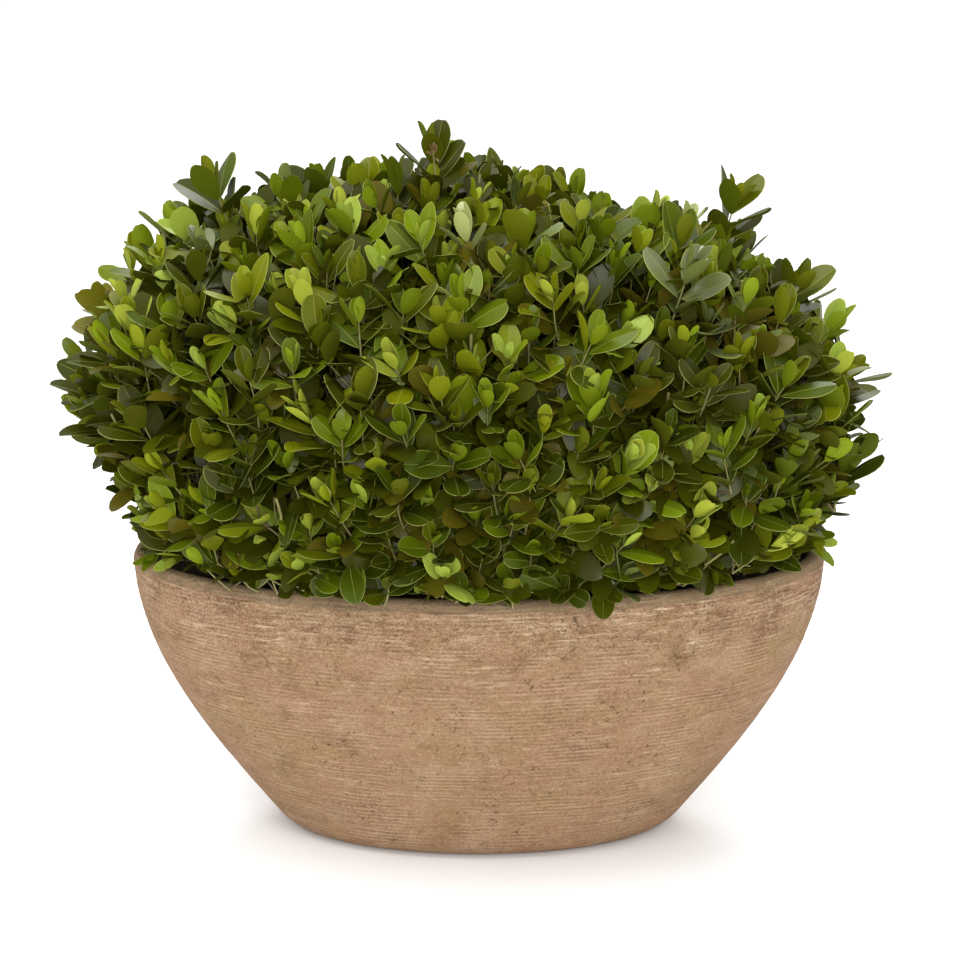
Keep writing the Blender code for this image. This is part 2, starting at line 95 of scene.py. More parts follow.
class Wire:
    """An output socket of a node. Arithmetic on it adds Math nodes to its tree."""

    def __init__(self, graph: "Graph", socket: bpy.types.NodeSocket) -> None:
        """Wraps a socket of a graph."""
        self.graph = graph
        self.socket = socket

    def _math(self, operation: str, *values: Any) -> "Wire":
        """A Math node's result on some values."""
        return self.graph.node("ShaderNodeMath", {"operation": operation}, dict(enumerate(values)))

    def __add__(self, other: Any) -> "Wire":
        """self + other"""
        return self._math("ADD", self, other)

    __radd__ = __add__

    def __sub__(self, other: Any) -> "Wire":
        """self - other"""
        return self._math("SUBTRACT", self, other)

    def __rsub__(self, other: Any) -> "Wire":
        """other - self"""
        return self._math("SUBTRACT", other, self)

    def __mul__(self, other: Any) -> "Wire":
        """self * other"""
        return self._math("MULTIPLY", self, other)

    __rmul__ = __mul__

    def sine(self) -> "Wire":
        """The sine of this, in radians."""
        return self._math("SINE", self)

    def near(self, number: float) -> "Wire":
        """1 where this is within a half of a number, else 0."""
        return self._math("COMPARE", self, number, 0.5)

    def ramp(self, low: float, high: float) -> "Wire":
        """Cuts this off smoothly between two levels.

        Args:
            low: Where the result is 0.
            high: Where it is 1. It may be the lower of the two, which turns the result over.

        Returns:
            The result, from 0 to 1.
        """
        return self.graph.node(
            "ShaderNodeMapRange",
            {"interpolation_type": "SMOOTHSTEP"},
            {"Value": self, "From Min": low, "From Max": high},
        )


class Graph:
    """A node tree that is filled by calls."""

    def __init__(self, tree: bpy.types.NodeTree) -> None:
        """Takes the tree to fill."""
        self.tree = tree

    def node(
        self,
        kind: str,
        settings: Optional[dict[str, Any]] = None,
        values: Optional[dict[Union[int, str], Any]] = None,
        output: Union[int, str] = 0,
    ) -> Wire:
        """Adds a node.

        Args:
            kind: The node's type.
            settings: Its properties, which are set first, as they change its sockets.
            values: A number, a colour, a data block or a Wire for each input, by name or place.
            output: The output that is wanted, by name or place.

        Returns:
            That output.
        """
        made = self.tree.nodes.new(kind)
        for name, value in (settings or {}).items():
            setattr(made, name, value)
        for name, value in (values or {}).items():
            if isinstance(value, Wire):
                self.tree.links.new(value.socket, made.inputs[name])
            else:
                made.inputs[name].default_value = value
        return Wire(self, made.outputs[output])


class Paint(Graph):
    """A material's node tree, with its Principled shader."""

    def __init__(self, name: str) -> None:
        """Starts a material.

        Args:
            name: The material's name.
        """
        self.material = bpy.data.materials.new(name)
        self.material.use_nodes = True
        super().__init__(self.material.node_tree)
        self.shader = self.tree.nodes["Principled BSDF"]
        self.place = None

    def set(self, **values: Any) -> None:
        """Fills the shader's sockets.

        Args:
            values: A Wire, a colour or a number for each socket, by its name with its spaces as low lines.
        """
        for name, value in values.items():
            socket = self.shader.inputs[name.replace("_", " ")]
            if isinstance(value, Wire):
                self.tree.links.new(value.socket, socket)
            elif isinstance(value, tuple):
                socket.default_value = (*value, 1.0)
            else:
                socket.default_value = value

    def stretched(self, x: float, y: float, z: float, turn: tuple = (0.0, 0.0, 0.0)) -> Wire:
        """The object's own coordinates, turned and then multiplied.

        Args:
            x: What they are multiplied by along the first axis.
            y: The same along the second.
            z: The same along the third.
            turn: The angles that they are turned by.

        Returns:
            The coordinates.
        """
        if self.place is None:
            self.place = self.node("ShaderNodeTexCoord", output="Object")
        values = {"Vector": self.place, "Rotation": turn}
        turned = self.node("ShaderNodeMapping", {"vector_type": "POINT"}, values)
        return self.vector_math("MULTIPLY", turned, (x, y, z))

    def vector_math(self, operation: str, first: Any, second: Any) -> Wire:
        """A Vector Math node's result on two vectors."""
        return self.node("ShaderNodeVectorMath", {"operation": operation}, {0: first, 1: second})

    def noise(self, vector: Wire, detail: float, roughness: float, output: str = "Fac") -> Wire:
        """Soft noise on a coordinate.

        Args:
            vector: The coordinate. A unit of it is about as long as one wave.
            detail: How many finer waves there are.
            roughness: How strong the finer waves are.
            output: "Fac" for a number, "Color" for a vector.

        Returns:
            The noise, from 0 to 1.
        """
        values = {"Vector": vector, "Scale": 1.0, "Detail": detail, "Roughness": roughness}
        return self.node("ShaderNodeTexNoise", {}, values, output)

    def warp(self, fineness: float, amount: float) -> None:
        """Makes every later pattern wander.

        Args:
            fineness: How many waves of the wander there are to a metre.
            amount: About how far it goes, in metres.
        """
        shift = self.noise(self.stretched(fineness, fineness, fineness), 3.0, 0.6, "Color")
        centred = self.vector_math("SUBTRACT", shift, (0.5, 0.5, 0.5))
        scaled = self.vector_math("MULTIPLY", centred, (amount,) * 3)
        self.place = self.vector_math("ADD", self.place, scaled)

    def axis(self, name: str) -> Wire:
        """One of the object's own coordinates, X, Y or Z."""
        return self.node("ShaderNodeSeparateXYZ", {}, {0: self.stretched(1.0, 1.0, 1.0)}, name)

    def mix(self, share: Any, first: Any, second: Any) -> Wire:
        """Mixes two colours.

        Args:
            share: How much of the second there is, from 0 to 1.
            first: A colour or a Wire.
            second: A colour or a Wire.

        Returns:
            The mixed colour.
        """
        values = {0: share}
        for place, colour in ((6, first), (7, second)):
            values[place] = colour if isinstance(colour, Wire) else (*colour, 1.0)
        return self.node("ShaderNodeMix", {"data_type": "RGBA"}, values, 2)

    def bump(self, height: Wire, distance: float) -> None:
        """Feeds the shader's normal from a height, in metres for each step of one."""
        self.set(Normal=self.node("ShaderNodeBump", {}, {"Height": height, "Distance": distance}))


class Recipe(Graph):
    """A Geometry Nodes tree with named inputs."""

    def __init__(self, name: str, **inputs: str) -> None:
        """Starts a tree.

        Args:
            name: The tree's name.
            inputs: The type of each named input after the geometry.
        """
        super().__init__(bpy.data.node_groups.new(name, "GeometryNodeTree"))
        face = self.tree.interface
        face.new_socket("Geometry", in_out="INPUT", socket_type="NodeSocketGeometry")
        for socket, kind in inputs.items():
            face.new_socket(socket, in_out="INPUT", socket_type=kind)
        face.new_socket("Geometry", in_out="OUTPUT", socket_type="NodeSocketGeometry")
        self.entry = self.tree.nodes.new("NodeGroupInput")
        self.exit = self.tree.nodes.new("NodeGroupOutput")

    def input(self, name: str) -> Wire:
        """One of the tree's inputs."""
        return Wire(self, self.entry.outputs[name])

    def attribute(self, name: str, kind: str) -> Wire:
        """A named attribute."""
        return self.node("GeometryNodeInputNamedAttribute", {"data_type": kind}, {"Name": name})

    def paint(self, geometry: Wire, look: Wire, finishes: Sequence[bpy.types.Material]) -> None:
        """Ends the tree with each face in its finish.

        Args:
            geometry: What the tree has made.
            look: Each face's number in the list of finishes.
            finishes: The list.
        """
        for number, finish in enumerate(finishes):
            values = {"Geometry": geometry, "Selection": look.near(number), "Material": finish}
            geometry = self.node("GeometryNodeSetMaterial", {}, values)
        self.tree.links.new(geometry.socket, self.exit.inputs["Geometry"])

    def run(self, source: bpy.types.Mesh, **values: Any) -> bpy.types.Mesh:
        """Applies the tree to a mesh.

        Args:
            source: The points or edges that it works on. It is removed.
            values: The named inputs.

        Returns:
            The finished mesh, with no attributes of this making left on it.
        """
        carrier = bpy.data.objects.new("carrier", source)
        bpy.context.scene.collection.objects.link(carrier)
        modifier = carrier.modifiers.new("recipe", "NODES")
        modifier.node_group = self.tree
        sockets = self.tree.interface.items_tree
        names = {socket.name: socket.identifier for socket in sockets if socket.in_out == "INPUT"}
        for name, value in values.items():
            modifier[names[name]] = value
        ready = carrier.evaluated_get(bpy.context.evaluated_depsgraph_get())
        made = bpy.data.meshes.new_from_object(ready)
        if made.materials[0] is None:
            made.materials.pop(index=0)
        carrier.modifiers.remove(modifier)
        bpy.data.objects.remove(carrier)
        bpy.data.meshes.remove(source)
        for name in ("tint", "part", "shape", "girth", "young", "turn", "size"):
            if name in made.attributes:
                made.attributes.remove(made.attributes[name])
        return made


def add_piece(name: str, mesh: bpy.types.Mesh, slot: str, *nodes: str) -> bpy.types.Object:
    """Puts a finished mesh in the scene as a piece on the body.

    Args:
        name: The piece's name.
        mesh: Its mesh, in place.
        slot: The record's material slot. It is not used.
        nodes: The CAD nodes that it stands for.

    Returns:
        The piece.
    """
    mesh.name = name
    piece = bpy.data.objects.new(name, mesh)
    bpy.context.scene.collection.objects.link(piece)
    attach(piece, BODY)
    if nodes:
        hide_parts(*nodes)
    triangles = sum(len(face.vertices) - 2 for face in mesh.polygons)
    log.info("%s: %d triangles", name, triangles)
    return piece


def grid_mesh(name: str, rings: Sequence[Sequence[Vector]], finish: bpy.types.Material) -> bpy.types.Mesh:
    """A smooth closed skin through rings of equal count, drawn to a point at each end.

    Args:
        name: The mesh's name.
        rings: The rings of corners, anticlockwise seen from the far end.
        finish: Its material.

    Returns:
        The mesh.
    """
    count = len(rings[0])
    corners = [tuple(corner) for ring in rings for corner in ring]
    last = (len(rings) - 1) * count
    foot, head = len(corners), len(corners) + 1
    corners.append(tuple(sum(rings[0], Vector()) / count))
    corners.append(tuple(sum(rings[-1], Vector()) / count))
    faces: list[tuple[int, ...]] = []
    for i in range(count):
        j = (i + 1) % count
        faces.append((foot, j, i))
        faces.append((head, last + i, last + j))
        for low in range(0, last, count):
            faces.append((low + i, low + j, low + count + j, low + count + i))
    mesh = bpy.data.meshes.new(name)
    mesh.from_pydata(corners, [], faces)
    mesh.materials.append(finish)
    mesh.shade_smooth()
    return mesh


def join_meshes(name: str, meshes: Sequence[bpy.types.Mesh]) -> bpy.types.Mesh:
    """Joins meshes of one material, and removes them.

    Args:
        name: The new mesh's name.
        meshes: The meshes.

    Returns:
        The new mesh.
    """
    corners: list[tuple[float, ...]] = []
    faces: list[tuple[int, ...]] = []
    for mesh in meshes:
        first = len(corners)
        corners.extend(tuple(v.co) for v in mesh.vertices)
        faces.extend(tuple(first + i for i in face.vertices) for face in mesh.polygons)
    joined = bpy.data.meshes.new(name)
    joined.from_pydata(corners, [], faces)
    joined.materials.append(meshes[0].materials[0])
    joined.shade_smooth()
    for mesh in meshes:
        bpy.data.meshes.remove(mesh)
    return joined


def level_direction(turn: float) -> Vector:
    """A level direction at an angle from +X."""
    return Vector((math.cos(turn), math.sin(turn), 0))


def across(line: Vector) -> Vector:
    """A direction square to a line."""
    return line.cross(UP if abs(line.z) < 0.9 else Vector((1, 0, 0))).normalized()


# Finishes


@dataclass(frozen=True)
class Pattern:
    """Noise that is stretched, turned and cut off between two levels."""

    stretch: tuple[float, float, float]
    turn: tuple[float, float, float]
    detail: float
    roughness: float
    levels: Levels
    share: float = 1.0

    def height(self, paint: Paint) -> Wire:
        """The noise itself."""
        return paint.noise(paint.stretched(*self.stretch, self.turn), self.detail, self.roughness)

    def mask(self, paint: Paint) -> Wire:
        """Where the noise shows, from 0 to 1."""
        return self.height(paint).ramp(*self.levels)


@dataclass(frozen=True)
class Relief(Pattern):
    """A pattern whose low places are painted dark, and whose high places, by levels, are painted pale."""

    low_levels: Levels = (0.0, 0.0)
    low_share: float = 1.0

    def over(self, paint: Paint, height: Wire, shares: tuple[Any, Any], colours: tuple) -> Wire:
        """Paints the low and the high places over a colour.

        Args:
            paint: The material.
            height: The pattern's height.
            shares: How strongly the low and the high places are painted.
            colours: The colour below, and those of the low and the high places.

        Returns:
            The new colour.
        """
        ground, dark, pale = colours
        ground = paint.mix(height.ramp(*self.low_levels) * shares[0], ground, dark)
        return paint.mix(height.ramp(*self.levels) * shares[1], ground, pale)

    def all_over(self, paint: Paint, height: Wire, share: Any, colours: tuple) -> Wire:
        """Paints both, as strongly as the pattern's own shares say, times a share."""
        return self.over(paint, height, (share * self.low_share, share * self.share), colours)


UNTURNED = (0.0, 0.0, 0.0)


@dataclass(frozen=True)
class Clay:
    """Unglazed clay: combed while wet, sandy, crusted with lime near the rim, pitted and scratched. The
    ridges, comb lines and crust carry painted shade in their low places, and the ridges and comb lines carry
    painted highlights on their crests.
    """

    tan: Colour = (0.287, 0.172, 0.094)
    olive: Colour = (0.260, 0.170, 0.076)
    pink: Colour = (0.304, 0.166, 0.098)
    # Brown: stains, and painted shade in the low places of the ridges, comb lines and crust.
    brown_stain_and_shade: Colour = (0.118, 0.055, 0.024)
    # Cream: the pale crust, and painted highlights on the crests of the ridges and comb lines.
    cream_crust_and_highlight: Colour = (0.600, 0.458, 0.295)
    dust: Colour = (0.368, 0.244, 0.152)
    grey_lip: Colour = (0.205, 0.150, 0.086)
    pit: Colour = (0.055, 0.026, 0.014)
    dark_grain: Colour = (0.125, 0.070, 0.034)
    light_grain: Colour = (0.570, 0.398, 0.255)
    aged: Pattern = Pattern((30, 30, 44), UNTURNED, 4.0, 0.55, (0.60, 0.38), 0.70)
    blush: Pattern = Pattern((26, 26, 40), (0.0, 0.0, 1.0), 4.0, 0.55, (0.42, 0.62), 0.60)
    dusty: Pattern = Pattern((34, 34, 48), (0.0, 0.4, 1.6), 5.0, 0.60, (0.46, 0.68), 0.60)
    stained: Pattern = Pattern((38, 38, 56), (0.0, 0.0, 2.0), 6.0, 0.68, (0.50, 0.72), 0.48)
    cloudy: Relief = Relief(
        (64, 64, 80), (0.0, 0.7, 0.5), 4.0, 0.60, (0.52, 0.72), 0.50, (0.50, 0.30), 0.55
    )
    scraped: Pattern = Pattern((24, 24, 70), (0.4, 0.0, 0.0), 3.0, 0.60, (0.36, 0.56))
    ridged: Relief = Relief((58, 58, 640), UNTURNED, 4.0, 0.66, (0.54, 0.69), 0.95, (0.49, 0.34), 0.75)
    drawn: Pattern = Pattern((36, 36, 90), (0.0, 0.2, 0.0), 4.0, 0.65, (0.44, 0.62))
    crusty: Relief = Relief(
        (230, 230, 460), (0.0, 0.0, 0.5), 5.0, 0.72, (0.54, 0.70), 0.14, (0.47, 0.30), 0.20
    )
    grained: Relief = Relief((560, 560, 1000), UNTURNED, 3.0, 0.72, (0.53, 0.72), 0.38, (0.49, 0.30), 0.46)
    sandy: Relief = Relief((1300, 1300, 1300), UNTURNED, 2.0, 0.75, (0.53, 0.74), 0.52, (0.49, 0.28), 0.66)
    leaning: Pattern = Pattern((1000, 1000, 300), (0.0, 0.50, 0.2), 1.0, 0.5, (0.68, 0.75), 0.7)
    falling: Pattern = Pattern((900, 900, 260), (0.0, -0.75, 0.4), 1.0, 0.5, (0.68, 0.75), 0.7)
    smudged: Pattern = Pattern((400, 400, 190), (0.0, 0.65, 0.1), 3.0, 0.6, (0.60, 0.70))
    some: Pattern = Pattern((40, 40, 50), UNTURNED, 3.0, 0.6, (0.48, 0.60), 0.35)
    others: Pattern = Pattern((36, 36, 46), (0.0, 0.3, 0.0), 3.0, 0.6, (0.48, 0.60), 0.20)
    combed_from: float = 0.094
    combed_over: float = 0.030
    clouded_below: float = 0.010
    clouded_above: float = 0.020
    wander_fineness: float = 16.0
    wander: float = 0.0040
    comb_tooth: float = 0.0020
    tooth_low: Levels = (-0.3, -1.0)
    tooth_high: Levels = (0.3, 1.0)
    tooth_shares: Levels = (0.26, 0.22)
    tooth_relief: float = 0.12
    ridge_relief: Levels = (0.7, 0.2)
    crust_relief: float = 0.5
    grain_relief: float = 0.4
    sand_relief: float = 0.35
    hole_relief: float = 0.8
    scraped_shares: Levels = (0.60, 0.40)
    grain_shares: Levels = (0.40, 0.80)
    crust_share: float = 0.60
    lip_levels: Levels = (0.1305, 0.1347)
    lip_share: float = 0.60
    relief: float = 0.0008
    roughness: float = 0.92
    gloss: float = 0.2

    def ground(self, paint: Paint) -> Wire:
        """The clay's own colour, in soft blotches, and cloudy near the rim.

        Args:
            paint: The clay's node tree.

        Returns:
            The colour.
        """
        colour = self.tan
        over = (self.olive, self.pink, self.dust, self.brown_stain_and_shade)
        for pattern, other in zip((self.aged, self.blush, self.dusty, self.stained), over):
            colour = paint.mix(pattern.mask(paint) * pattern.share, colour, other)
        low, high = self.combed_from - self.clouded_below, self.combed_from + self.clouded_above
        rim = paint.axis("Z").ramp(low, high)
        return self.cloudy.all_over(paint, self.cloudy.height(paint), rim, (colour, self.brown_stain_and_shade, self.dust))

    def material(self) -> bpy.types.Material:
        """Builds the clay: the ground, then ridges, comb lines, crust, grain, sand, pits and the lip, with
        painted shade in the low places of the ridges, comb lines and crust and painted highlights on the
        crests of the ridges and comb lines.
        """
        paint = Paint("clay")
        height = paint.axis("Z")
        colour = self.ground(paint)
        paint.warp(self.wander_fineness, self.wander)
        combed = height.ramp(self.combed_from, self.combed_from + self.combed_over)
        share = self.scraped.mask(paint) * (combed * self.scraped_shares[0] + self.scraped_shares[1])
        ridges = self.ridged.height(paint)
        # Painted shade in the ridges' low places and painted highlights on their crests.
        colour = self.ridged.all_over(paint, ridges, share, (colour, self.brown_stain_and_shade, self.cream_crust_and_highlight))
        teeth = (paint.axis("Z") * (2 * math.pi / self.comb_tooth)).sine()
        drawn = self.drawn.mask(paint)
        # Painted shade in the comb lines' grooves and painted highlights on their crests.
        for levels, strength, other in zip(
            (self.tooth_low, self.tooth_high), self.tooth_shares, (self.brown_stain_and_shade, self.cream_crust_and_highlight)
        ):
            colour = paint.mix(teeth.ramp(*levels) * drawn * strength, colour, other)
        crust = self.crusty.height(paint)
        thick = share * combed * self.crust_share
        shares = (thick + self.crusty.low_share, thick + self.crusty.share)
        # Painted shade in the crust's low places, under the pale crust.
        colour = self.crusty.over(paint, crust, shares, (colour, self.brown_stain_and_shade, self.cream_crust_and_highlight))
        rough = combed * self.grain_shares[0] + self.grain_shares[1]
        grain, sand = self.grained.height(paint), self.sandy.height(paint)
        colour = self.grained.all_over(paint, grain, rough, (colour, self.dark_grain, self.light_grain))
        colour = self.sandy.all_over(paint, sand, rough, (colour, self.dark_grain, self.light_grain))
        holes = self.strokes(paint)
        colour = paint.mix(holes, colour, self.pit)
        colour = paint.mix(height.ramp(*self.lip_levels) * self.lip_share, colour, self.grey_lip)
        paint.set(Base_Color=colour, Roughness=self.roughness, Specular_IOR_Level=self.gloss)
        relief = ridges * (share * self.ridge_relief[0] + self.ridge_relief[1])
        relief += crust * self.crust_relief + grain * self.grain_relief + sand * self.sand_relief
        relief += teeth * drawn * self.tooth_relief - holes * self.hole_relief
        paint.bump(relief, self.relief)
        return paint.material

    def strokes(self, paint: Paint) -> Wire:
        """Where dark pits, smudges and short scratches at a slant lie.

        Args:
            paint: The clay's node tree.

        Returns:
            How strong they are, from 0 to 1.
        """
        some, others = self.some.mask(paint), self.others.mask(paint)
        scratches = self.leaning.mask(paint) * some * self.leaning.share
        scratches = scratches + self.falling.mask(paint) * others * self.falling.share
        return scratches + self.smudged.mask(paint) * (some * self.some.share + others * self.others.share)


@dataclass(frozen=True)
class Earth:
    """Dark, moist potting mix."""

    dark: Colour = (0.018, 0.011, 0.007)
    light: Colour = (0.100, 0.064, 0.038)
    crumbs: Pattern = Pattern((420, 420, 420), UNTURNED, 5.0, 0.7, (0.35, 0.70))
    relief: float = 0.0012
    roughness: float = 0.95

    def material(self) -> bpy.types.Material:
        """Builds the mix."""
        paint = Paint("earth")
        crumbs = self.crumbs.height(paint)
        colour = paint.mix(crumbs.ramp(*self.crumbs.levels), self.dark, self.light)
        paint.set(Base_Color=colour, Roughness=self.roughness)
        paint.bump(crumbs, self.relief)
        return paint.material


@dataclass(frozen=True)
class Bark:
    """The bark of the stem and the boughs: pale grey-brown ridges over dark furrows."""

    furrow: Colour = (0.050, 0.034, 0.020)
    ridge: Colour = (0.200, 0.158, 0.108)
    ridged: Pattern = Pattern((420, 420, 70), UNTURNED, 5.0, 0.65, (0.36, 0.64), 0.85)
    flaky: Pattern = Pattern((1500, 1500, 600), UNTURNED, 2.0, 0.5, (0.0, 1.0), 0.15)
    relief: float = 0.0012
    roughness: float = 0.85

    def material(self) -> bpy.types.Material:
        """Builds the bark."""
        paint = Paint("bark")
        ridges, flakes = self.ridged.height(paint), self.flaky.height(paint)
        share = ridges.ramp(*self.ridged.levels) * self.ridged.share + flakes * self.flaky.share
        paint.set(Base_Color=paint.mix(share, self.furrow, self.ridge), Roughness=self.roughness)
        paint.bump(ridges * 0.8 + flakes * 0.2, self.relief)
        return paint.material


@dataclass(frozen=True)
class Skin:
    """The plain finish of something small and numerous, such as a leaf's face or a twig."""

    name: str
    colour: Colour
    roughness: float
    gloss: float = 0.30

    def material(self) -> bpy.types.Material:
        """Builds the finish, with one value all over."""
        paint = Paint(self.name)
        paint.set(Base_Color=self.colour, Roughness=self.roughness, Specular_IOR_Level=self.gloss)
        return paint.material


class Part(Enum):
    """The parts of a leaf that have a finish of their own."""

    BLADE = 0
    RIB = 1
    UNDERSIDE = 2


PLAIN_STRIPS = (Part.BLADE, Part.BLADE, Part.UNDERSIDE, Part.UNDERSIDE)
FINE_STRIPS = (
    Part.BLADE,
    Part.RIB,
    Part.BLADE,
    Part.RIB,
    Part.UNDERSIDE,
    Part.UNDERSIDE,
    Part.RIB,
)
AGES = 6
RIB_COLOUR = (0.44, 0.46, 0.12)
RIB_SHARE = 0.34
USUAL_GLOSS = 0.16
UNDERSIDE_PALER = (0.027, 0.029, 0.0010)


class Tint(Enum):
    """The leaves' colours.

    The first six go from the oldest to the youngest, the next six are the same ages on sprigs
    with more yellow in them, and the last ones are rarer.
    """

    DEEP = (0.030, 0.041, 0.0010)
    FOREST = (0.045, 0.065, 0.0012)
    MOSS = (0.072, 0.100, 0.0016)
    GRASS = (0.108, 0.146, 0.0020)
    FRESH = (0.154, 0.214, 0.0060)
    LIME = (0.245, 0.320, 0.0400)
    UMBER = (0.035, 0.039, 0.0010)
    HEATH = (0.054, 0.062, 0.0012)
    FERN = (0.084, 0.096, 0.0016)
    OLIVE = (0.128, 0.142, 0.0020)
    HONEY = (0.176, 0.206, 0.0060)
    CITRUS = (0.272, 0.310, 0.0300)
    WAXY = (0.094, 0.112, 0.0300)
    # Whole leaves painted whitish near the top: a painted sheen of the overhead light.
    PALE = (0.330, 0.365, 0.1300)
    BRONZE = (0.112, 0.100, 0.0025)
    BUD = (0.165, 0.105, 0.0400)
    SHADE = (0.078, 0.066, 0.0040)

    @property
    def number(self) -> int:
        """Its place in the list."""
        return list(Tint).index(self)

    @classmethod
    def aged(cls, age: float, yellow: bool) -> "Tint":
        """The tint of a leaf.

        Args:
            age: How young it is, from 0 to 5. Ages past either end count as that end.
            yellow: Whether it is on a yellower sprig.

        Returns:
            The tint.
        """
        return list(cls)[min(max(round(age), 0), AGES - 1) + (AGES if yellow else 0)]

    def finishes(self) -> list[bpy.types.Material]:
        """The materials of a leaf of this tint, in the order of Part."""
        name = "leaf_" + self.name.lower()
        rib = tuple((1 - RIB_SHARE) * own + RIB_SHARE * pale for own, pale in zip(self.value, RIB_COLOUR))
        paler = (0.0, 0.0, 0.0) if self is Tint.SHADE else UNDERSIDE_PALER
        under = tuple(own + more for own, more in zip(self.value, paler))
        looks = (
            Skin(name, self.value, 0.32, BLADE_GLOSS.get(self, USUAL_GLOSS)),
            Skin(name + "_rib", rib, 0.5, USUAL_GLOSS),
            Skin(name + "_underside", under, 0.60, 0.10),
        )
        return [look.material() for look in looks]


BLADE_GLOSS = {Tint.WAXY: 0.9, Tint.PALE: 0.6}


# The crown's rule of growth, the same as the solids'


@dataclass
class Pot:
    """The oval bowl. Its wall leans out along a quarter of a sine wave."""

    height: float = 0.138
    rim_half_length: float = 0.162
    rim_half_depth: float = 0.083
    foot_half_length: float = 0.0895
    foot_half_depth: float = 0.0500
    foot_rounding: float = 0.009
    wall: float = 0.009
    floor: float = 0.012
    soil_top: float = 0.133
    overhang: float = 0.0035
    side_slope: float = 0.18
    end_slope: float = 1.80
    wander: float = 0.0016
    thrown_depth: float = 0.00030
    thrown_waves: float = 75.0
    comb_depth: float = 0.00034
    comb_waves: float = 520.0
    combed_from: float = 0.070
    combed_over: float = 0.030
    least_combed: float = 0.25
    dent_depth: float = 0.0007
    dent_waves: float = 70.0
    dents_from: float = 0.25
    lean_power: float = 4
    lip_wear: float = 0.00055
    lip_chips: float = 0.0009
    underside_insets: tuple = (0.030, 0.015, 0.005)
    sides: int = 440
    wall_rows: int = 176
    lip_rows: int = 13
    foot_rows: int = 6
    inner_rows: int = 12

    def half_sizes(self, height: float) -> tuple[float, float]:
        """How far out the wall reaches at a height.

        Args:
            height: The height above the floor.

        Returns:
            The outer half length and half depth there.
        """
        lean = math.sin(math.pi / 2 * min(max(height / self.height, 0.0), 1.0))
        return (
            self.foot_half_length + (self.rim_half_length - self.foot_half_length) * lean,
            self.foot_half_depth + (self.rim_half_depth - self.foot_half_depth) * lean,
        )

    def rim_edge(self, turn: float) -> tuple[Vector, Vector]:
        """A place on the rim's outer edge.

        Args:
            turn: Its angle round the oval.

        Returns:
            The place, on the plan, and the level way straight out from it.
        """
        half_length, half_depth = self.half_sizes(self.height)
        x, y = math.cos(turn), math.sin(turn)
        outward = Vector((x / half_length, y / half_depth, 0)).normalized()
        return Vector((half_length * x, half_depth * y, 0)), outward

    def clear(self, point: Vector, overhang: float, above: float = CLEARANCE) -> bool:
        """Whether a point keeps clear of the pot and the soil, above them or beside the rim.

        Args:
            point: The point.
            overhang: How far below the rim's top it may lie outside the pot.
            above: How far above the rim it has to be over it.

        Returns:
            True where it is clear.
        """
        if point.z > self.height + above:
            return True
        half_length, half_depth = self.half_sizes(point.z)
        share = math.hypot(point.x / half_length, point.y / half_depth)
        if share < 1 - (self.wall + CLEARANCE) / half_depth:
            return point.z > self.soil_top + CLEARANCE
        return share > 1 + CLEARANCE / half_depth and point.z > self.height - overhang

    def underside(self, point: Vector) -> float:
        """How high the crown's underside is. It rises outside the rim, and most at the two ends.

        Args:
            point: A point of the crown.

        Returns:
            The height of the underside over or under it.
        """
        half_length, half_depth = self.half_sizes(self.height)
        across, along = point.y / half_depth, point.x / half_length
        share = math.hypot(along, across)
        if share <= 1:
            return self.height
        slope = self.side_slope + (self.end_slope - self.side_slope) * (along / share) ** self.lean_power
        return self.height + slope * math.hypot(point.x, point.y) * (1 - 1 / share)

    def hollowed(self, turn: float, height: float) -> float:
        """The maker's turns, comb lines and dents.

        Args:
            turn: An angle round the pot.
            height: A height on its wall.

        Returns:
            How far the wall lies inside its true curve there.
        """
        x, y = math.cos(turn), math.sin(turn)
        level = height + self.wander * noise.noise(Vector((x * 1.7, y * 1.7, 9.0)))
        thrown = 0.5 + 0.5 * noise.noise(Vector((x * 0.6, y * 0.6, level * self.thrown_waves)))
        combs = 0.5 + 0.5 * noise.noise(Vector((x * 2.6, y * 2.6, level * self.comb_waves)))
        dents = max(0.0, noise.noise(Vector((x * 9, y * 5, height * self.dent_waves + 40))) - self.dents_from)
        combed = min(max((height - self.combed_from) / self.combed_over, self.least_combed), 1.0)
        return self.thrown_depth * thrown + self.comb_depth * combed * combs + self.dent_depth * dents

    def ring(self, height: float, inset: float, worn: float = 1.0) -> list[Vector]:
        """One level ring of the wall.

        Args:
            height: Its height.
            inset: How far it lies inside the outer curve.
            worn: Its share of the wall's unevenness.

        Returns:
            Its corners.
        """
        half_length, half_depth = self.half_sizes(height)
        ring = []
        for i in range(self.sides):
            turn = 2 * math.pi * i / self.sides
            more = inset + worn * self.hollowed(turn, height)
            x, y = (half_length - more) * math.cos(turn), (half_depth - more) * math.sin(turn)
            ring.append(Vector((x, y, height)))
        return ring

    def lip_ring(self, around: float) -> list[Vector]:
        """One ring of the rounded, worn lip.

        Args:
            around: Where it is on the rounding, from 0 outside to 1 inside.

        Returns:
            Its corners.
        """
        radius = self.wall / 2
        middle = self.height - radius
        ring = []
        for i in range(self.sides):
            turn = 2 * math.pi * i / self.sides
            x, y = math.cos(turn), math.sin(turn)
            worn = self.lip_wear * (0.5 + 0.5 * noise.noise(Vector((x * 3.1, y * 3.1, 3.0))))
            worn += self.lip_chips * max(0.0, noise.noise(Vector((x * 11, y * 7, around * 2.0))) - 0.2)
            size = radius - worn
            rise = size * math.sin(math.pi * around)
            out = self.hollowed(turn, middle) * (1 - around) * math.cos(math.pi * around) ** 2
            inset = radius - size * math.cos(math.pi * around) + out
            half_length, half_depth = self.half_sizes(middle + rise)
            ring.append(Vector(((half_length - inset) * x, (half_depth - inset) * y, middle + rise)))
        return ring

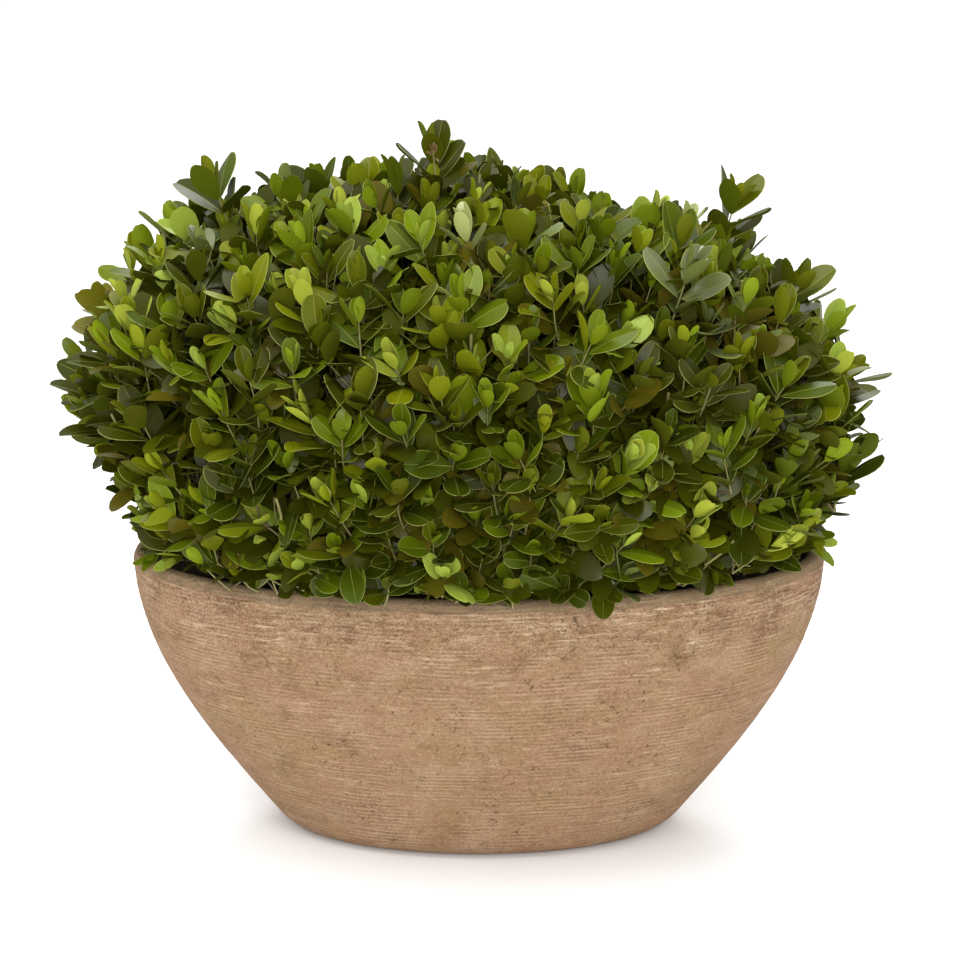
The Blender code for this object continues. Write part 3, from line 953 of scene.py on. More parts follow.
    def mesh(self, finish: bpy.types.Material) -> bpy.types.Mesh:
        """The whole bowl, from the middle of its underside round to the middle of its floor.

        Args:
            finish: The clay.

        Returns:
            The mesh.
        """
        rings = [self.ring(0.0, self.foot_rounding + more, 0.0) for more in self.underside_insets]
        for i in range(self.foot_rows):
            turn = math.pi / 2 * i / self.foot_rows
            height = self.foot_rounding * (1 - math.cos(turn))
            rings.append(self.ring(height, self.foot_rounding * (1 - math.sin(turn)), math.sin(turn)))
        lip_start = self.height - self.wall / 2
        for i in range(self.wall_rows):
            height = self.foot_rounding + (lip_start - self.foot_rounding) * i / self.wall_rows
            rings.append(self.ring(height, 0.0))
        rings += [self.lip_ring(i / (self.lip_rows - 1)) for i in range(self.lip_rows)]
        for i in range(1, self.inner_rows + 1):
            height = lip_start + (self.floor - lip_start) * i / self.inner_rows
            rings.append(self.ring(height, self.wall, 0.0))
        return grid_mesh("pot", rings, finish)

    def build(self) -> None:
        """Makes the pot piece."""
        add_piece("clay_pot", self.mesh(Clay().material()), "clay", "pot")


@dataclass
class Soil:
    """The potting mix, with an uneven crumbly top."""

    pot: Pot
    gap: float = 0.0005
    foot_gap: float = 0.0003
    sides: int = 160
    rows: int = 26
    side_rows: int = 6
    shoulder: float = 0.003
    crowding: float = 1.2
    lump: float = 0.0022
    lump_waves: float = 90.0
    crumb_waves: float = 260.0

    def build(self) -> None:
        """Makes the soil piece."""
        inset = self.pot.wall + self.gap
        foot = self.pot.floor + self.foot_gap
        rise = self.pot.soil_top - self.shoulder - foot
        heights = [foot + rise * i / self.side_rows for i in range(self.side_rows + 1)]
        rings = [self.ring(self.pot.half_sizes(height), inset, height, 1.0) for height in heights]
        outline = self.pot.half_sizes(self.pot.soil_top)
        for i in range(self.rows):
            share = 1 - (i / self.rows) ** self.crowding
            rings.append(self.ring(outline, inset, self.pot.soil_top, share))
        add_piece("potting_mix", grid_mesh("soil", rings, Earth().material()), "earth", "soil")

    def ring(self, half: tuple[float, float], inset: float, height: float, share: float) -> list[Vector]:
        """One ring of the mix.

        Args:
            half: The pot's outer half length and half depth there.
            inset: How far the mix lies inside them.
            height: The ring's height. Where it is the top's, the ring is lumpy.
            share: The ring's size, as a share of the mix's.

        Returns:
            Its corners.
        """
        ring = []
        for i in range(self.sides):
            turn = 2 * math.pi * i / self.sides
            x = (half[0] - inset) * share * math.cos(turn)
            y = (half[1] - inset) * share * math.sin(turn)
            z = height
            if height >= self.pot.soil_top:
                lumps = noise.noise(Vector((x, y, 0)) * self.lump_waves)
                lumps += 0.5 * noise.noise(Vector((x, y, 1)) * self.crumb_waves)
                z -= self.lump * (0.5 - 0.33 * lumps)
            ring.append(Vector((x, y, z)))
        return ring


@dataclass
class Crown:
    """The crown's outline, the space of each mass, and the rule by which its twigs grow."""

    pot: Pot
    centre: Vector = field(default_factory=lambda: Vector((-0.006, 0.0, 0.204)))
    half_length: float = 0.192
    half_depth: float = 0.124
    rise: float = 0.117
    drop: float = 0.094
    plan_power: float = 2.15
    side_power: float = 2.5
    swells: tuple = (
        ((-0.12, -0.03, 1.00), 0.018, 0.20),
        ((0.60, 0.10, 0.80), -0.010, 0.36),
        ((0.90, 0.00, 0.40), -0.015, 0.22),
        ((-0.45, 0.20, 0.90), -0.002, 0.26),
        ((-0.75, 0.10, 0.60), 0.005, 0.22),
        ((-0.91, 0.00, 0.40), -0.004, 0.18),
        ((-0.95, 0.00, -0.25), -0.033, 0.34),
        ((0.97, 0.00, -0.10), -0.008, 0.30),
        ((0.25, 0.70, 0.60), -0.006, 0.35),
        ((-0.30, -0.85, 0.20), 0.005, 0.30),
    )
    ring_names: tuple = (
        "right",
        "back_right",
        "back",
        "back_left",
        "left",
        "front_left",
        "front",
        "front_right",
    )
    top_names: tuple = ("top_left", "top", "top_right")
    ring_share: float = 0.62
    ring_hub_height: float = 0.180
    side_inner_share: float = 0.62
    end_inner_share: float = 0.56
    top_hub_spacing: float = 0.088
    top_hub_height: float = 0.275
    top_floor: float = 0.232
    focus_share_x: float = 0.50
    focus_share_y: float = 0.30
    focus_depth: float = 0.015
    fork_share: float = 0.42
    fork_jitter: float = 0.003
    fork_room: float = 0.001
    fork_retreat: float = 0.25
    twig_radius: float = 0.00050
    thickening: float = 0.36

    def reach(self, direction: Vector) -> float:
        """How far the crown reaches from its middle.

        Args:
            direction: The way to look, of length one.

        Returns:
            The distance.
        """
        plan = (
            abs(direction.x / self.half_length) ** self.plan_power
            + abs(direction.y / self.half_depth) ** self.plan_power
        ) ** (1 / self.plan_power)
        height = self.rise if direction.z > 0 else self.drop
        power = self.side_power
        reach = (plan**power + abs(direction.z / height) ** power) ** (-1 / power)
        for toward, swell, width in self.swells:
            reach += swell * math.exp(-((direction - Vector(toward).normalized()).length / width) ** 2)
        return reach

    def hubs(self) -> dict[str, Vector]:
        """The middle of each mass of foliage, by name."""
        found = {}
        for i, name in enumerate(self.ring_names):
            turn = 2 * math.pi * i / len(self.ring_names)
            x = self.centre.x + self.ring_share * self.half_length * math.cos(turn)
            y = self.centre.y + self.ring_share * self.half_depth * math.sin(turn)
            found[name] = Vector((x, y, self.ring_hub_height))
        for i, name in enumerate(self.top_names):
            x = self.centre.x + (i - 1) * self.top_hub_spacing
            found[name] = Vector((x, 0, self.top_hub_height))
        return found

    def inner_point(self, name: str, hub: Vector) -> Vector:
        """Where a ring mass begins, on the level line from the stem to its hub."""
        share = self.end_inner_share if name in ("left", "right") else self.side_inner_share
        return Vector((hub.x * share, hub.y * share, hub.z))

    def spaces(self) -> dict[str, list[Flat]]:
        """The flats that bound the space of each mass."""
        found = {}
        middles = self.hubs()
        for name, hub in middles.items():
            others = [other for other in middles.values() if other != hub]
            flats = [((hub + other) / 2, (hub - other).normalized()) for other in others]
            if name in self.top_names:
                flats.append((Vector((0, 0, self.top_floor)), UP))
            else:
                flats.append((self.inner_point(name, hub), Vector((hub.x, hub.y, 0)).normalized()))
            found[name] = flats
        return found

    @staticmethod
    def room(flats: Sequence[Flat], point: Vector) -> float:
        """The distance from a point to the nearest flat of a space, negative outside it."""
        return min((point - on).dot(inward) for on, inward in flats)

    def heading_at(self, point: Vector) -> Vector:
        """The way that a shoot grows where it comes out of the crown: up and out from the pot's mouth."""
        x, y = point.x * self.focus_share_x, point.y * self.focus_share_y
        return (point - Vector((x, y, self.pot.height - self.focus_depth))).normalized()

    def radius_for(self, carried: int) -> float:
        """A twig's radius at its foot, from how many shoots it carries."""
        return self.twig_radius * carried**self.thickening

    def grow(
        self, start: Vector, ends: list[Vector], flats: Sequence[Flat], chance: random.Random
    ) -> list[tuple[Vector, Vector, int]]:
        """Twigs from start to all ends: a twig heads for the middle of its ends, forks, and shares
        them out across their widest spread.

        Args:
            start: Where the first twig begins.
            ends: Where twigs have to arrive.
            flats: The space to keep to.
            chance: The source of the forks' unevenness.

        Returns:
            Each twig's start and end, and how many ends it carries.
        """
        if len(ends) == 1:
            return [(start, ends[0], 1)]
        middle = sum(ends, Vector()) / len(ends)
        fork = start.lerp(middle, self.fork_share)
        fork += Vector([chance.uniform(-1, 1) for _ in range(3)]) * self.fork_jitter
        while self.room(flats, fork) < self.fork_room or not self.pot.clear(fork, 0.0):
            fork = fork.lerp(start, self.fork_retreat)
        spread = max((end - middle for end in ends), key=lambda offset: offset.length)
        ordered = sorted(ends, key=lambda end: (end - middle).dot(spread))
        half = len(ordered) // 2
        twigs = [(start, fork, len(ends))]
        twigs += self.grow(fork, ordered[:half], flats, chance)
        return twigs + self.grow(fork, ordered[half:], flats, chance)


@dataclass(frozen=True)
class LeafShape:
    """One boxwood leaf of length one, with its stalk at the origin, along +X and facing +Z.

    The blade has two halves and a rib between them on its upper side, a thin pale edge, and an
    underside. A plain one has only its two faces.
    """

    wide: float = 0.50  # of its length
    widest: float = 0.60  # of its length
    wedge: float = 0.95  # above 1, the base is narrower
    round: float = 0.58  # below 1, the tip is blunter
    notch: float = 0.008
    arch: float = -0.10  # how far the tip bends up
    cup: float = 0.10  # how far the edges bend up
    twist: float = 0.0
    stations: tuple[float, ...] = (0.10, 0.26, 0.42, 0.57, 0.71, 0.83, 0.92, 0.98)
    edge: float = 0.013
    rib: float = 0.008
    thick: float = 0.015
    stalk: float = 0.018
    plain: bool = False

    def half_width(self, along: float) -> float:
        """Half the blade's width.

        Args:
            along: How far from the stalk, as a share of the length.

        Returns:
            The half width there.
        """
        if along < self.widest:
            share = math.sin(math.pi / 2 * along / self.widest) ** self.wedge
        else:
            share = math.cos(math.pi / 2 * (along - self.widest) / (1 - self.widest)) ** self.round
        return self.stalk + (self.wide / 2 - self.stalk) * share

    def place(self, along: float, side: float, lift: float) -> tuple[float, float, float]:
        """A corner of the leaf, bent, cupped and twisted.

        Args:
            along: How far from the stalk, as a share of the length.
            side: How far from the rib, across the blade.
            lift: How far above the blade's middle.

        Returns:
            The corner.
        """
        rise = self.arch * along * along + self.cup * abs(side) * 2 * along
        turn = self.twist * along
        up = rise + lift
        return along, side * math.cos(turn) - up * math.sin(turn), up * math.cos(turn) + side * math.sin(turn)

    def mesh(self, number: int) -> bpy.types.Mesh:
        """Builds the leaf, with the part of each face as an attribute.

        Args:
            number: The shape's number, which the mesh's name ends with.

        Returns:
            The mesh.
        """
        corners: list[tuple[float, float, float]] = [self.place(0.0, 0.0, 0.0)]
        lift = self.thick / 2
        for along in self.stations:
            half = self.half_width(along)
            last = along == self.stations[-1]
            rib_along = along - self.notch if last else along
            rib = self.rib * (1.25 - along)
            if self.plain:
                ring = [
                    (along, half, 0.0),
                    (rib_along, 0.0, lift),
                    (along, -half, 0.0),
                    (rib_along, 0.0, -lift),
                ]
            else:
                inner = half - min(self.edge, half * 0.3)
                ring = [
                    (along, inner, lift * 0.6),
                    (rib_along, rib, lift * 0.8),
                    (rib_along, -rib, lift * 0.8),
                    (along, -inner, lift * 0.6),
                    (along, -half, -lift * 0.2),
                    (rib_along, 0.0, -lift),
                    (along, half, -lift * 0.2),
                ]
            corners += [self.place(*spot) for spot in ring]
        return self.skinned(number, corners, PLAIN_STRIPS if self.plain else FINE_STRIPS)

    def skinned(self, number: int, corners: list, parts: Sequence[Part]) -> bpy.types.Mesh:
        """Joins the corners of the rings into a closed mesh.

        Args:
            number: The shape's number, which its name ends with.
            corners: The stalk's corner, then each ring's.
            parts: The part of the strip that starts at each corner of a ring.

        Returns:
            The mesh.
        """
        count = len(parts)
        faces: list[tuple[int, ...]] = []
        looks: list[int] = []
        for i, part in enumerate(parts):
            j = (i + 1) % count
            faces.append((0, 1 + i, 1 + j))
            looks.append(part.value)
            for ring in range(len(self.stations) - 1):
                low = 1 + ring * count
                faces.append((low + i, low + i + count, low + j + count, low + j))
                looks.append(part.value)
        last = 1 + (len(self.stations) - 1) * count
        tip = len(corners)
        corners.append(self.place(1.0 - self.notch * 1.4, 0.0, 0.0))
        for i, part in enumerate(parts):
            faces.append((last + i, tip, last + (i + 1) % count))
            looks.append(part.value)
        mesh = bpy.data.meshes.new(f"leaf_shape_{number:02d}")
        mesh.from_pydata(corners, [], faces)
        mesh.attributes.new("part", "INT", "FACE").data.foreach_set("value", looks)
        mesh.shade_smooth()
        self.sharpen(mesh, looks)
        return mesh

    @staticmethod
    def sharpen(mesh: bpy.types.Mesh, looks: list[int]) -> None:
        """Marks the edges between a leaf's parts as sharp.

        Args:
            mesh: The leaf.
            looks: The number of the part that each of its faces is on.
        """
        beside: dict[int, set[int]] = {}
        for face in mesh.polygons:
            for corner in face.loop_indices:
                beside.setdefault(mesh.loops[corner].edge_index, set()).add(looks[face.index])
        sharp = mesh.attributes.new("sharp_edge", "BOOLEAN", "EDGE")
        sharp.data.foreach_set("value", [len(beside.get(i, ())) > 1 for i in range(len(mesh.edges))])


class Kind(Enum):
    """The kinds of leafy shoot."""

    PLAIN = "plain"
    ROSETTE = "rosette"
    TULIP = "tulip"
    STRAY = "stray"
    DROOPING = "drooping"
    INNER = "inner"
    CUT = "cut"
    BUD = "bud"


@dataclass(frozen=True)
class Habit:
    """How a kind of outer shoot is dealt out, and how it differs from the others."""

    share: float
    spread: float
    younger: float


HABITS = {
    Kind.PLAIN: Habit(0.66, 1.0, 0.0),
    Kind.ROSETTE: Habit(0.16, 1.35, 0.0),
    Kind.TULIP: Habit(0.18, 0.68, 1.4),
}


@dataclass
class Shoot:
    """The straight end of a twig, which bears the leaves in crossed pairs."""

    tip: Vector
    line: Vector
    kind: Kind
    tint: Tint
    length: float = 0.024
    vigour: float = 1.0
    spread: float = 1.0
    shortest: float = 0.003
    shortening: float = 0.85

    @property
    def foot(self) -> Vector:
        """Where the shoot leaves its twig."""
        return self.tip - self.line * self.length

    def shorten(self, pot: Pot) -> None:
        """Brings the shoot's foot out of the clay and the soil."""
        while not pot.clear(self.foot, 0.0) and self.length > self.shortest:
            self.length *= self.shortening


# Each pair of leaves: how far below the shoot's tip, its angle from the shoot, and its size
LEAF_PAIRS = (
    (-0.0012, 10, 0.32),
    (0.0010, 20, 0.66),
    (0.0056, 33, 0.97),
    (0.0122, 45, 1.06),
    (0.0196, 56, 1.00),
)
BUD_PAIRS = ((-0.0006, 9, 0.19), (0.0004, 26, 0.22), (0.0016, 44, 0.21), (0.0028, 62, 0.17))
INNER_PAIRS = ((0.0020, 40, 1.0), (0.0090, 62, 1.0), (0.0160, 74, 1.0))
FINE_SHAPES = (
    LeafShape(cup=-0.10),
    LeafShape(wide=0.56, widest=0.65, round=0.50, notch=0.018, arch=-0.18, cup=0.17),
    LeafShape(wide=0.43, widest=0.53, round=0.72, notch=0.0, arch=-0.08, cup=0.10, twist=0.15),
    LeafShape(wide=0.49, widest=0.61, arch=-0.22, cup=-0.15, twist=-0.18),
    LeafShape(wide=0.53, widest=0.64, wedge=1.1, round=0.52, notch=0.014, arch=-0.14, cup=-0.20),
    LeafShape(wide=0.54, arch=0.05, cup=0.22),
    LeafShape(wide=0.48, arch=0.12, cup=0.30),
)
YOUNG_SHAPES = (5, 6)
FEW_STATIONS = (0.12, 0.36, 0.60, 0.80, 0.95)
PLAIN_SHAPES = (
    LeafShape(plain=True, stations=FEW_STATIONS),
    LeafShape(plain=True, stations=FEW_STATIONS, wide=0.54, arch=-0.18, cup=0.12),
)
# The places of a leaf that have to be clear: a share of its length, and of its half width
LEAF_CORNERS = ((0.35, 0.9), (0.35, -0.9), (0.7, 1.0), (0.7, -1.0), (1.0, 0.3), (1.0, -0.3))


LEAF_VALUES = (("turn", "QUATERNION"), ("size", "FLOAT_VECTOR"), ("shape", "INT"), ("tint", "INT"))
# How many steps of age each pair of leaves lies from its shoot, from the tip down
PAIR_AGES = (1, 1, 0, -1, -2)
LEAF_AGES = (-1, 0, 0, 0, 1)


def jitter(chance: random.Random, amount: float) -> Vector:
    """A random shift, as likely one way as another."""
    return Vector([chance.gauss(0, amount) for _ in range(3)])


def in_box(point: Vector, margin: float) -> bool:
    """Whether a point lies inside the model's box, by at least a margin."""
    low, high = cad_box
    return all(low[i] + margin < point[i] < high[i] - margin for i in range(3))


@dataclass
class Wiring:
    """Edges along the twigs, with their girth and where they are young and green."""

    corners: list[tuple[float, float, float]] = field(default_factory=list)
    edges: list[tuple[int, int]] = field(default_factory=list)
    girths: list[float] = field(default_factory=list)
    young: list[float] = field(default_factory=list)

    def add(self, points: Sequence[Vector], girth: float, shares: Sequence[float], green: float) -> None:
        """Adds one run of points.

        Args:
            points: The points, from the foot.
            girth: The twig's radius at its foot.
            shares: How thick each point is, as a share of that.
            green: 1 for a green twig, and 0 for a woody one.
        """
        first = len(self.corners)
        self.corners += [tuple(point) for point in points]
        self.girths += [girth * share for share in shares]
        self.young += [green] * len(points)
        self.edges += [(first + i, first + i + 1) for i in range(len(points) - 1)]

    def mesh(self) -> bpy.types.Mesh:
        """The mesh of all the edges."""
        mesh = bpy.data.meshes.new("twig_lines")
        mesh.from_pydata(self.corners, self.edges, [])
        mesh.attributes.new("girth", "FLOAT", "POINT").data.foreach_set("value", self.girths)
        mesh.attributes.new("young", "FLOAT", "POINT").data.foreach_set("value", self.young)
        return mesh


@dataclass
class Foliage:
    """All the masses of leaves and twigs."""

    crown: Crown
    pot: Pot
    seed: int = 4
    spacing: float = 0.0153
    tip_depth: float = 0.0160
    uneven: float = 0.009
    outline_range: Levels = (-1, 0.2)
    inner_layers: tuple = ((0.027, 0.0150), (0.044, 0.0180), (0.062, 0.0210), (0.082, 0.0230))
    inner_uneven: float = 0.006
    inner_length: float = 0.022
    inner_tints: tuple = (Tint.SHADE, Tint.UMBER, Tint.UMBER, Tint.HEATH)
    wander: float = 0.25
    clump_fineness: float = 44.0
    hollow_from: float = 0.08
    hollow_depth: float = 0.030
    hollow_age_and_shade: float = 5.0
    places: int = 12000
    lowest: float = 0.1425
    upward: float = 0.60
    upward_from: float = 0.132
    upward_over: float = 0.035
    leader_share: float = 0.12
    leader_reach: float = 0.008
    leader_range: Levels = (0.3, 1.0)
    vigours: Levels = (0.80, 1.14)
    spreads: Levels = (0.88, 1.12)
    cut_share: float = 0.05
    cut_length: float = 0.020
    middle_age: float = 1.30
    lamp_side_lightening: float = 1.2
    age_spread: float = 1.75
    yellow_share: float = 0.5
    rare_tints: tuple = ((0.04, Tint.WAXY), (0.05, Tint.BRONZE), (0.09, Tint.PALE))
    # Painted sheen: the whitish tint is dealt out only above this height.
    painted_sheen_from: float = 0.262
    low_ages: tuple = (-1.2, 4.3)
    drooping: tuple = (16, 34, 52, 75, 102, 131, 152, 201, 211, 235, 252, 274, 291, 312, 329, 343)
    droop_overhang: float = 0.0105
    droop_outward: Levels = (-0.007, 0.001)
    droop_above: Levels = (0.004, 0.009)
    droop_falls: Levels = (0.05, 0.35)
    droop_vigours: Levels = (0.85, 1.1)
    droop_spread: float = 0.9
    rim_room: float = 0.0010
    lip_count: int = 76
    lip_from: float = 0.36
    lip_lift: float = 0.12
    lip_wander: float = 0.22
    lip_shift: Levels = (-0.4, 0.4)
    lip_above: Levels = (0.003, 0.007)
    lip_insets: Levels = (0.008, 0.014)
    lip_vigours: Levels = (0.60, 0.88)
    lip_spread: float = 1.1
    low_length: float = 0.011
    collar: tuple = ((120, 0.0015, 0.0080), (60, 0.0110, 0.0260), (40, 0.0280, 0.0480))
    collar_length: float = 0.014
    collar_shift: Levels = (-0.3, 0.3)
    collar_above: Levels = (0.003, 0.012)
    collar_lift: Levels = (0.9, 0.5)
    collar_wander: Levels = (0.3, 0.2)
    collar_vigours: Levels = (0.75, 1.0)
    flattest: float = 0.1
    raised: float = 0.4
    strays: tuple = (
        (-0.021, 0.3425),
        (-0.124, 0.3270),
        (-0.146, 0.3000),
        (0.121, 0.3200),
        (0.151, 0.2790),
        (0.170, 0.2530),
        (0.182, 0.2310),
        (0.2025, 0.2000),
        (0.1815, 0.1790),
        (-0.195, 0.2110),
        (-0.194, 0.2400),
    )
    stray_depth: float = 0.018
    stray_length: float = 0.030
    stray_sideways: float = 0.015
    stray_ages: Levels = (0.6, 3.4)
    stray_yellow: float = 0.4
    stray_vigour: float = 1.15
    stray_spread: float = 0.8
    buds: tuple = ((-0.0205, -0.020, 0.3290),)
    bud_line: Vector = field(default_factory=lambda: Vector((-0.1, -0.3, 1)).normalized())
    bud_length: float = 0.012
    # The way towards the lamps. Shoots that face it are painted lighter.
    light: Vector = field(default_factory=lambda: Vector((-0.15, -0.75, 0.65)).normalized())
    leaf_length: float = 0.0214
    leaf_lengths: tuple = (0.86, 1.12)
    leaf_widths: tuple = (0.86, 1.10)
    leaf_half_width: float = 0.27
    stem_side: float = 0.0004
    turn_spread: float = 0.24
    angle_spread: float = 10.0
    widest_angle: float = 100.0
    skyward: float = 0.25
    roll_spread: float = 0.32
    box_margin: float = 0.0004
    midway: float = 0.6
    bare_share: float = 0.12
    bare_length: float = 0.030
    bare_lengths: Levels = (0.6, 1.1)
    bare_radius: float = 0.00034
    bare_wander: float = 0.6
    bare_bow: float = 0.005
    bare_margin: float = 0.001
    twig_bow: float = 0.05
    shoot_bow: float = 0.0006
    other_yellow: float = 0.15
    cut_girths: tuple = (1.5, 1.5, 1.5)
    shoot_girths: tuple = (1.0, 0.85, 0.6)
    bare_girths: tuple = (1.0, 0.8, 0.5)
    twig_sides: int = 4
    twig_steps: int = 2
    wood: Skin = Skin("twig_wood", (0.165, 0.122, 0.066), 0.75)
    green: Skin = Skin("twig_green", (0.220, 0.205, 0.070), 0.6)

    def may_grow(self, spot: Vector) -> bool:
        """Whether an outer or inner shoot's tip may lie there, clear of the pot."""
        floor = max(self.lowest, self.pot.underside(spot) + self.rim_room)
        return spot.z > floor and self.pot.clear(spot, self.pot.overhang)

    def tips(
        self, spacing: float, depth: float, uneven: float, given: list[Vector], chance: random.Random
    ) -> list[Vector]:
        """Evenly scattered shoot tips at a depth below the crown's outline.

        Args:
            spacing: No place is further than this from a tip.
            depth: How far below the outline.
            uneven: By how much more, at most.
            given: Tips that are there already.
            chance: The source of the places.

        Returns:
            The new tips.
        """
        spots = []
        while len(spots) < self.places:
            direction = Vector([chance.gauss(0, 1) for _ in range(3)]).normalized()
            reach = self.crown.reach(direction) + uneven * chance.uniform(*self.outline_range)
            reached = self.crown.centre + direction * reach
            if depth == self.tip_depth:
                reached -= direction * self.hollow(reached) * self.hollow_depth
            spot = reached - self.crown.heading_at(reached) * depth
            if self.may_grow(spot):
                spots.append(spot)
        cloud = np.array([tuple(spot) for spot in spots])
        tips = list(given)
        if not tips:
            tips.append(spots[0])
        gaps = np.full(len(spots), np.inf)
        for tip in tips:
            gaps = np.minimum(gaps, np.linalg.norm(cloud - np.array(tip), axis=1))
        while gaps.max() > spacing:
            best = int(gaps.argmax())
            tips.append(spots[best])
            gaps = np.minimum(gaps, np.linalg.norm(cloud - cloud[best], axis=1))
        return tips[len(given) :]

    def hollow(self, point: Vector) -> float:
        """How far a place lies in a hollow between clumps of sprigs, from 0 to about a half."""
        return max(0.0, noise.noise(point * self.clump_fineness) - self.hollow_from)

    def outer_shoot(self, tip: Vector, chance: random.Random) -> Shoot:
        """A shoot on the outside of the crown, of a kind dealt out by chance, and a tint dealt out by chance
        with painted light in it: lighter where the shoot faces the lamps, darker where it faces away, and
        darker in the hollows between clumps, partly as older leaves and partly as painted shade.

        Args:
            tip: Where it ends.
            chance: The source of its kind, tint and line.

        Returns:
            The shoot.
        """
        line = self.crown.heading_at(tip)
        lift = self.upward * min(max((tip.z - self.upward_from) / self.upward_over, 0.0), 1.0)
        line = (line + UP * lift + jitter(chance, self.wander)).normalized()
        kind = chance.choices(tuple(HABITS), [habit.share for habit in HABITS.values()])[0]
        # Painted light: shoots that face the lamps get lighter tints, and shoots that face away get darker
        # ones.
        age = self.middle_age + self.lamp_side_lightening * line.dot(self.light) + chance.gauss(0, self.age_spread)
        # Shoots in the hollows get older, darker tints: partly older leaves, partly painted shade.
        age += HABITS[kind].younger - self.hollow_age_and_shade * self.hollow(tip)
        tint = Tint.aged(age, chance.random() < self.yellow_share)
        rare = chance.random()
        for share, other in self.rare_tints:
            if rare < share:
                # The whitish painted sheen goes only on shoots high in the crown.
                if other is not Tint.PALE or tip.z > self.painted_sheen_from:
                    tint = other
                break
        spread = HABITS[kind].spread * chance.uniform(*self.spreads)
        if chance.random() < self.leader_share:
            tip = tip + line * chance.uniform(*self.leader_range) * self.leader_reach
        if chance.random() < self.cut_share:
            return Shoot(tip, line, Kind.CUT, tint, self.cut_length)
        return Shoot(tip, line, kind, tint, vigour=chance.uniform(*self.vigours), spread=spread)

    def low_tint(self, chance: random.Random) -> Tint:
        """The tint of a shoot near the rim."""
        return Tint.aged(chance.uniform(*self.low_ages), chance.random() < self.yellow_share)

    def drooping_shoots(self, chance: random.Random) -> list[Shoot]:
        """Shoots that lie on the rim and hang a little over it.

        Args:
            chance: The source of their places and lines.

        Returns:
            The shoots.
        """
        found = []
        for degrees in self.drooping:
            tip, outward = self.pot.rim_edge(math.radians(degrees + chance.uniform(-3, 3)))
            shift = outward * chance.uniform(*self.droop_outward)
            tip += shift + UP * (self.pot.height + chance.uniform(*self.droop_above))
            line = (outward - UP * chance.uniform(*self.droop_falls)).normalized()
            tint, vigour = self.low_tint(chance), chance.uniform(*self.droop_vigours)
            shape = (self.low_length, vigour, self.droop_spread)
            found.append(Shoot(tip, line, Kind.DROOPING, tint, *shape))
        return found

    def lip_shoots(self, chance: random.Random) -> list[Shoot]:
        """Small level shoots inside the rim, whose leaves lie on the lip along the front and the back.

        Args:
            chance: The source of their places and lines.

        Returns:
            The shoots.
        """
        found = []
        for i in range(self.lip_count):
            turn = 2 * math.pi * (i + chance.uniform(*self.lip_shift)) / self.lip_count
            if abs(math.sin(turn)) < self.lip_from:
                continue
            tip, outward = self.pot.rim_edge(turn)
            tip.z = self.pot.height
            above = chance.uniform(*self.lip_above)
            tip += UP * above - outward * chance.uniform(*self.lip_insets)
            line = (outward + UP * self.lip_lift + jitter(chance, self.lip_wander)).normalized()
            tint, vigour = self.low_tint(chance), chance.uniform(*self.lip_vigours)
            shape = (self.low_length, vigour, self.lip_spread)
            found.append(Shoot(tip, line, Kind.DROOPING, tint, *shape))
        return found

    def collar_shoots(self, chance: random.Random) -> list[Shoot]:
        """Low shoots inside the rim, in rings. They hide the soil from the side.

        Args:
            chance: The source of their places and lines.

        Returns:
            The shoots, ring by ring.
        """
        found = []
        half_length, half_depth = self.pot.half_sizes(self.pot.height)
        for number, (count, nearest, furthest) in enumerate(self.collar):
            for i in range(count):
                turn = 2 * math.pi * (i + chance.uniform(*self.collar_shift)) / count
                inset = self.pot.wall + chance.uniform(nearest, furthest)
                x, y = (half_length - inset) * math.cos(turn), (half_depth - inset) * math.sin(turn)
                tip = Vector((x, y, self.pot.height + chance.uniform(*self.collar_above)))
                lift = UP * (self.collar_lift[0] - self.collar_lift[1] * math.cos(turn) ** 2)
                shift = jitter(chance, self.collar_wander[0] + self.collar_wander[1] * number)
                line = (self.crown.heading_at(tip) + lift + shift).normalized()
                if line.z < self.flattest:
                    line = (line + UP * self.raised).normalized()
                kind = Kind.PLAIN if number == 0 else Kind.INNER
                tint, vigour = self.low_tint(chance), chance.uniform(*self.collar_vigours)
                found.append(Shoot(tip, line, kind, tint, self.collar_length, vigour))
        return found

    def stray_shoots(self, chance: random.Random) -> list[Shoot]:
        """The single sprigs that stand out from the outline, and the cluster of buds.

        Args:
            chance: The source of their places from front to back, and their tints.

        Returns:
            The shoots.
        """
        found = []
        for x, z in self.strays:
            reached = Vector((x, chance.uniform(-self.stray_sideways, self.stray_sideways), z))
            line = self.crown.heading_at(reached)
            tint = Tint.aged(chance.uniform(*self.stray_ages), chance.random() < self.stray_yellow)
            tip = reached - line * self.stray_depth
            shape = (self.stray_length, self.stray_vigour, self.stray_spread)
            found.append(Shoot(tip, line, Kind.STRAY, tint, *shape))
        for place in self.buds:
            found.append(Shoot(Vector(place), self.bud_line, Kind.BUD, Tint.BUD, self.bud_length))
        return found

    def inner_shoots(self, chance: random.Random) -> list[Shoot]:
        """The shaded shoots below the outer ones, in layers.

        Args:
            chance: The source of their places, lines and tints.

        Returns:
            The shoots, layer by layer.
        """
        found = []
        for depth, spacing in self.inner_layers:
            for tip in self.tips(spacing, depth, self.inner_uneven, [], chance):
                line = (self.crown.heading_at(tip) + jitter(chance, self.wander)).normalized()
                tint = chance.choice(self.inner_tints)
                found.append(Shoot(tip, line, Kind.INNER, tint, self.inner_length))
        return found

    def shoots(self, chance: random.Random) -> list[Shoot]:
        """Every shoot of the crown.

        Args:
            chance: The source of all that is uneven in them.

        Returns:
            The shoots, in the order in which they were drawn.
        """
        found = self.stray_shoots(chance) + self.drooping_shoots(chance) + self.collar_shoots(chance)
        given = [shoot.tip for shoot in found]
        for tip in self.tips(self.spacing, self.tip_depth, self.uneven, given, chance):
            found.append(self.outer_shoot(tip, chance))
        found += self.inner_shoots(chance) + self.lip_shoots(chance)
        for shoot in found:
            shoot.shorten(self.pot)
        return found

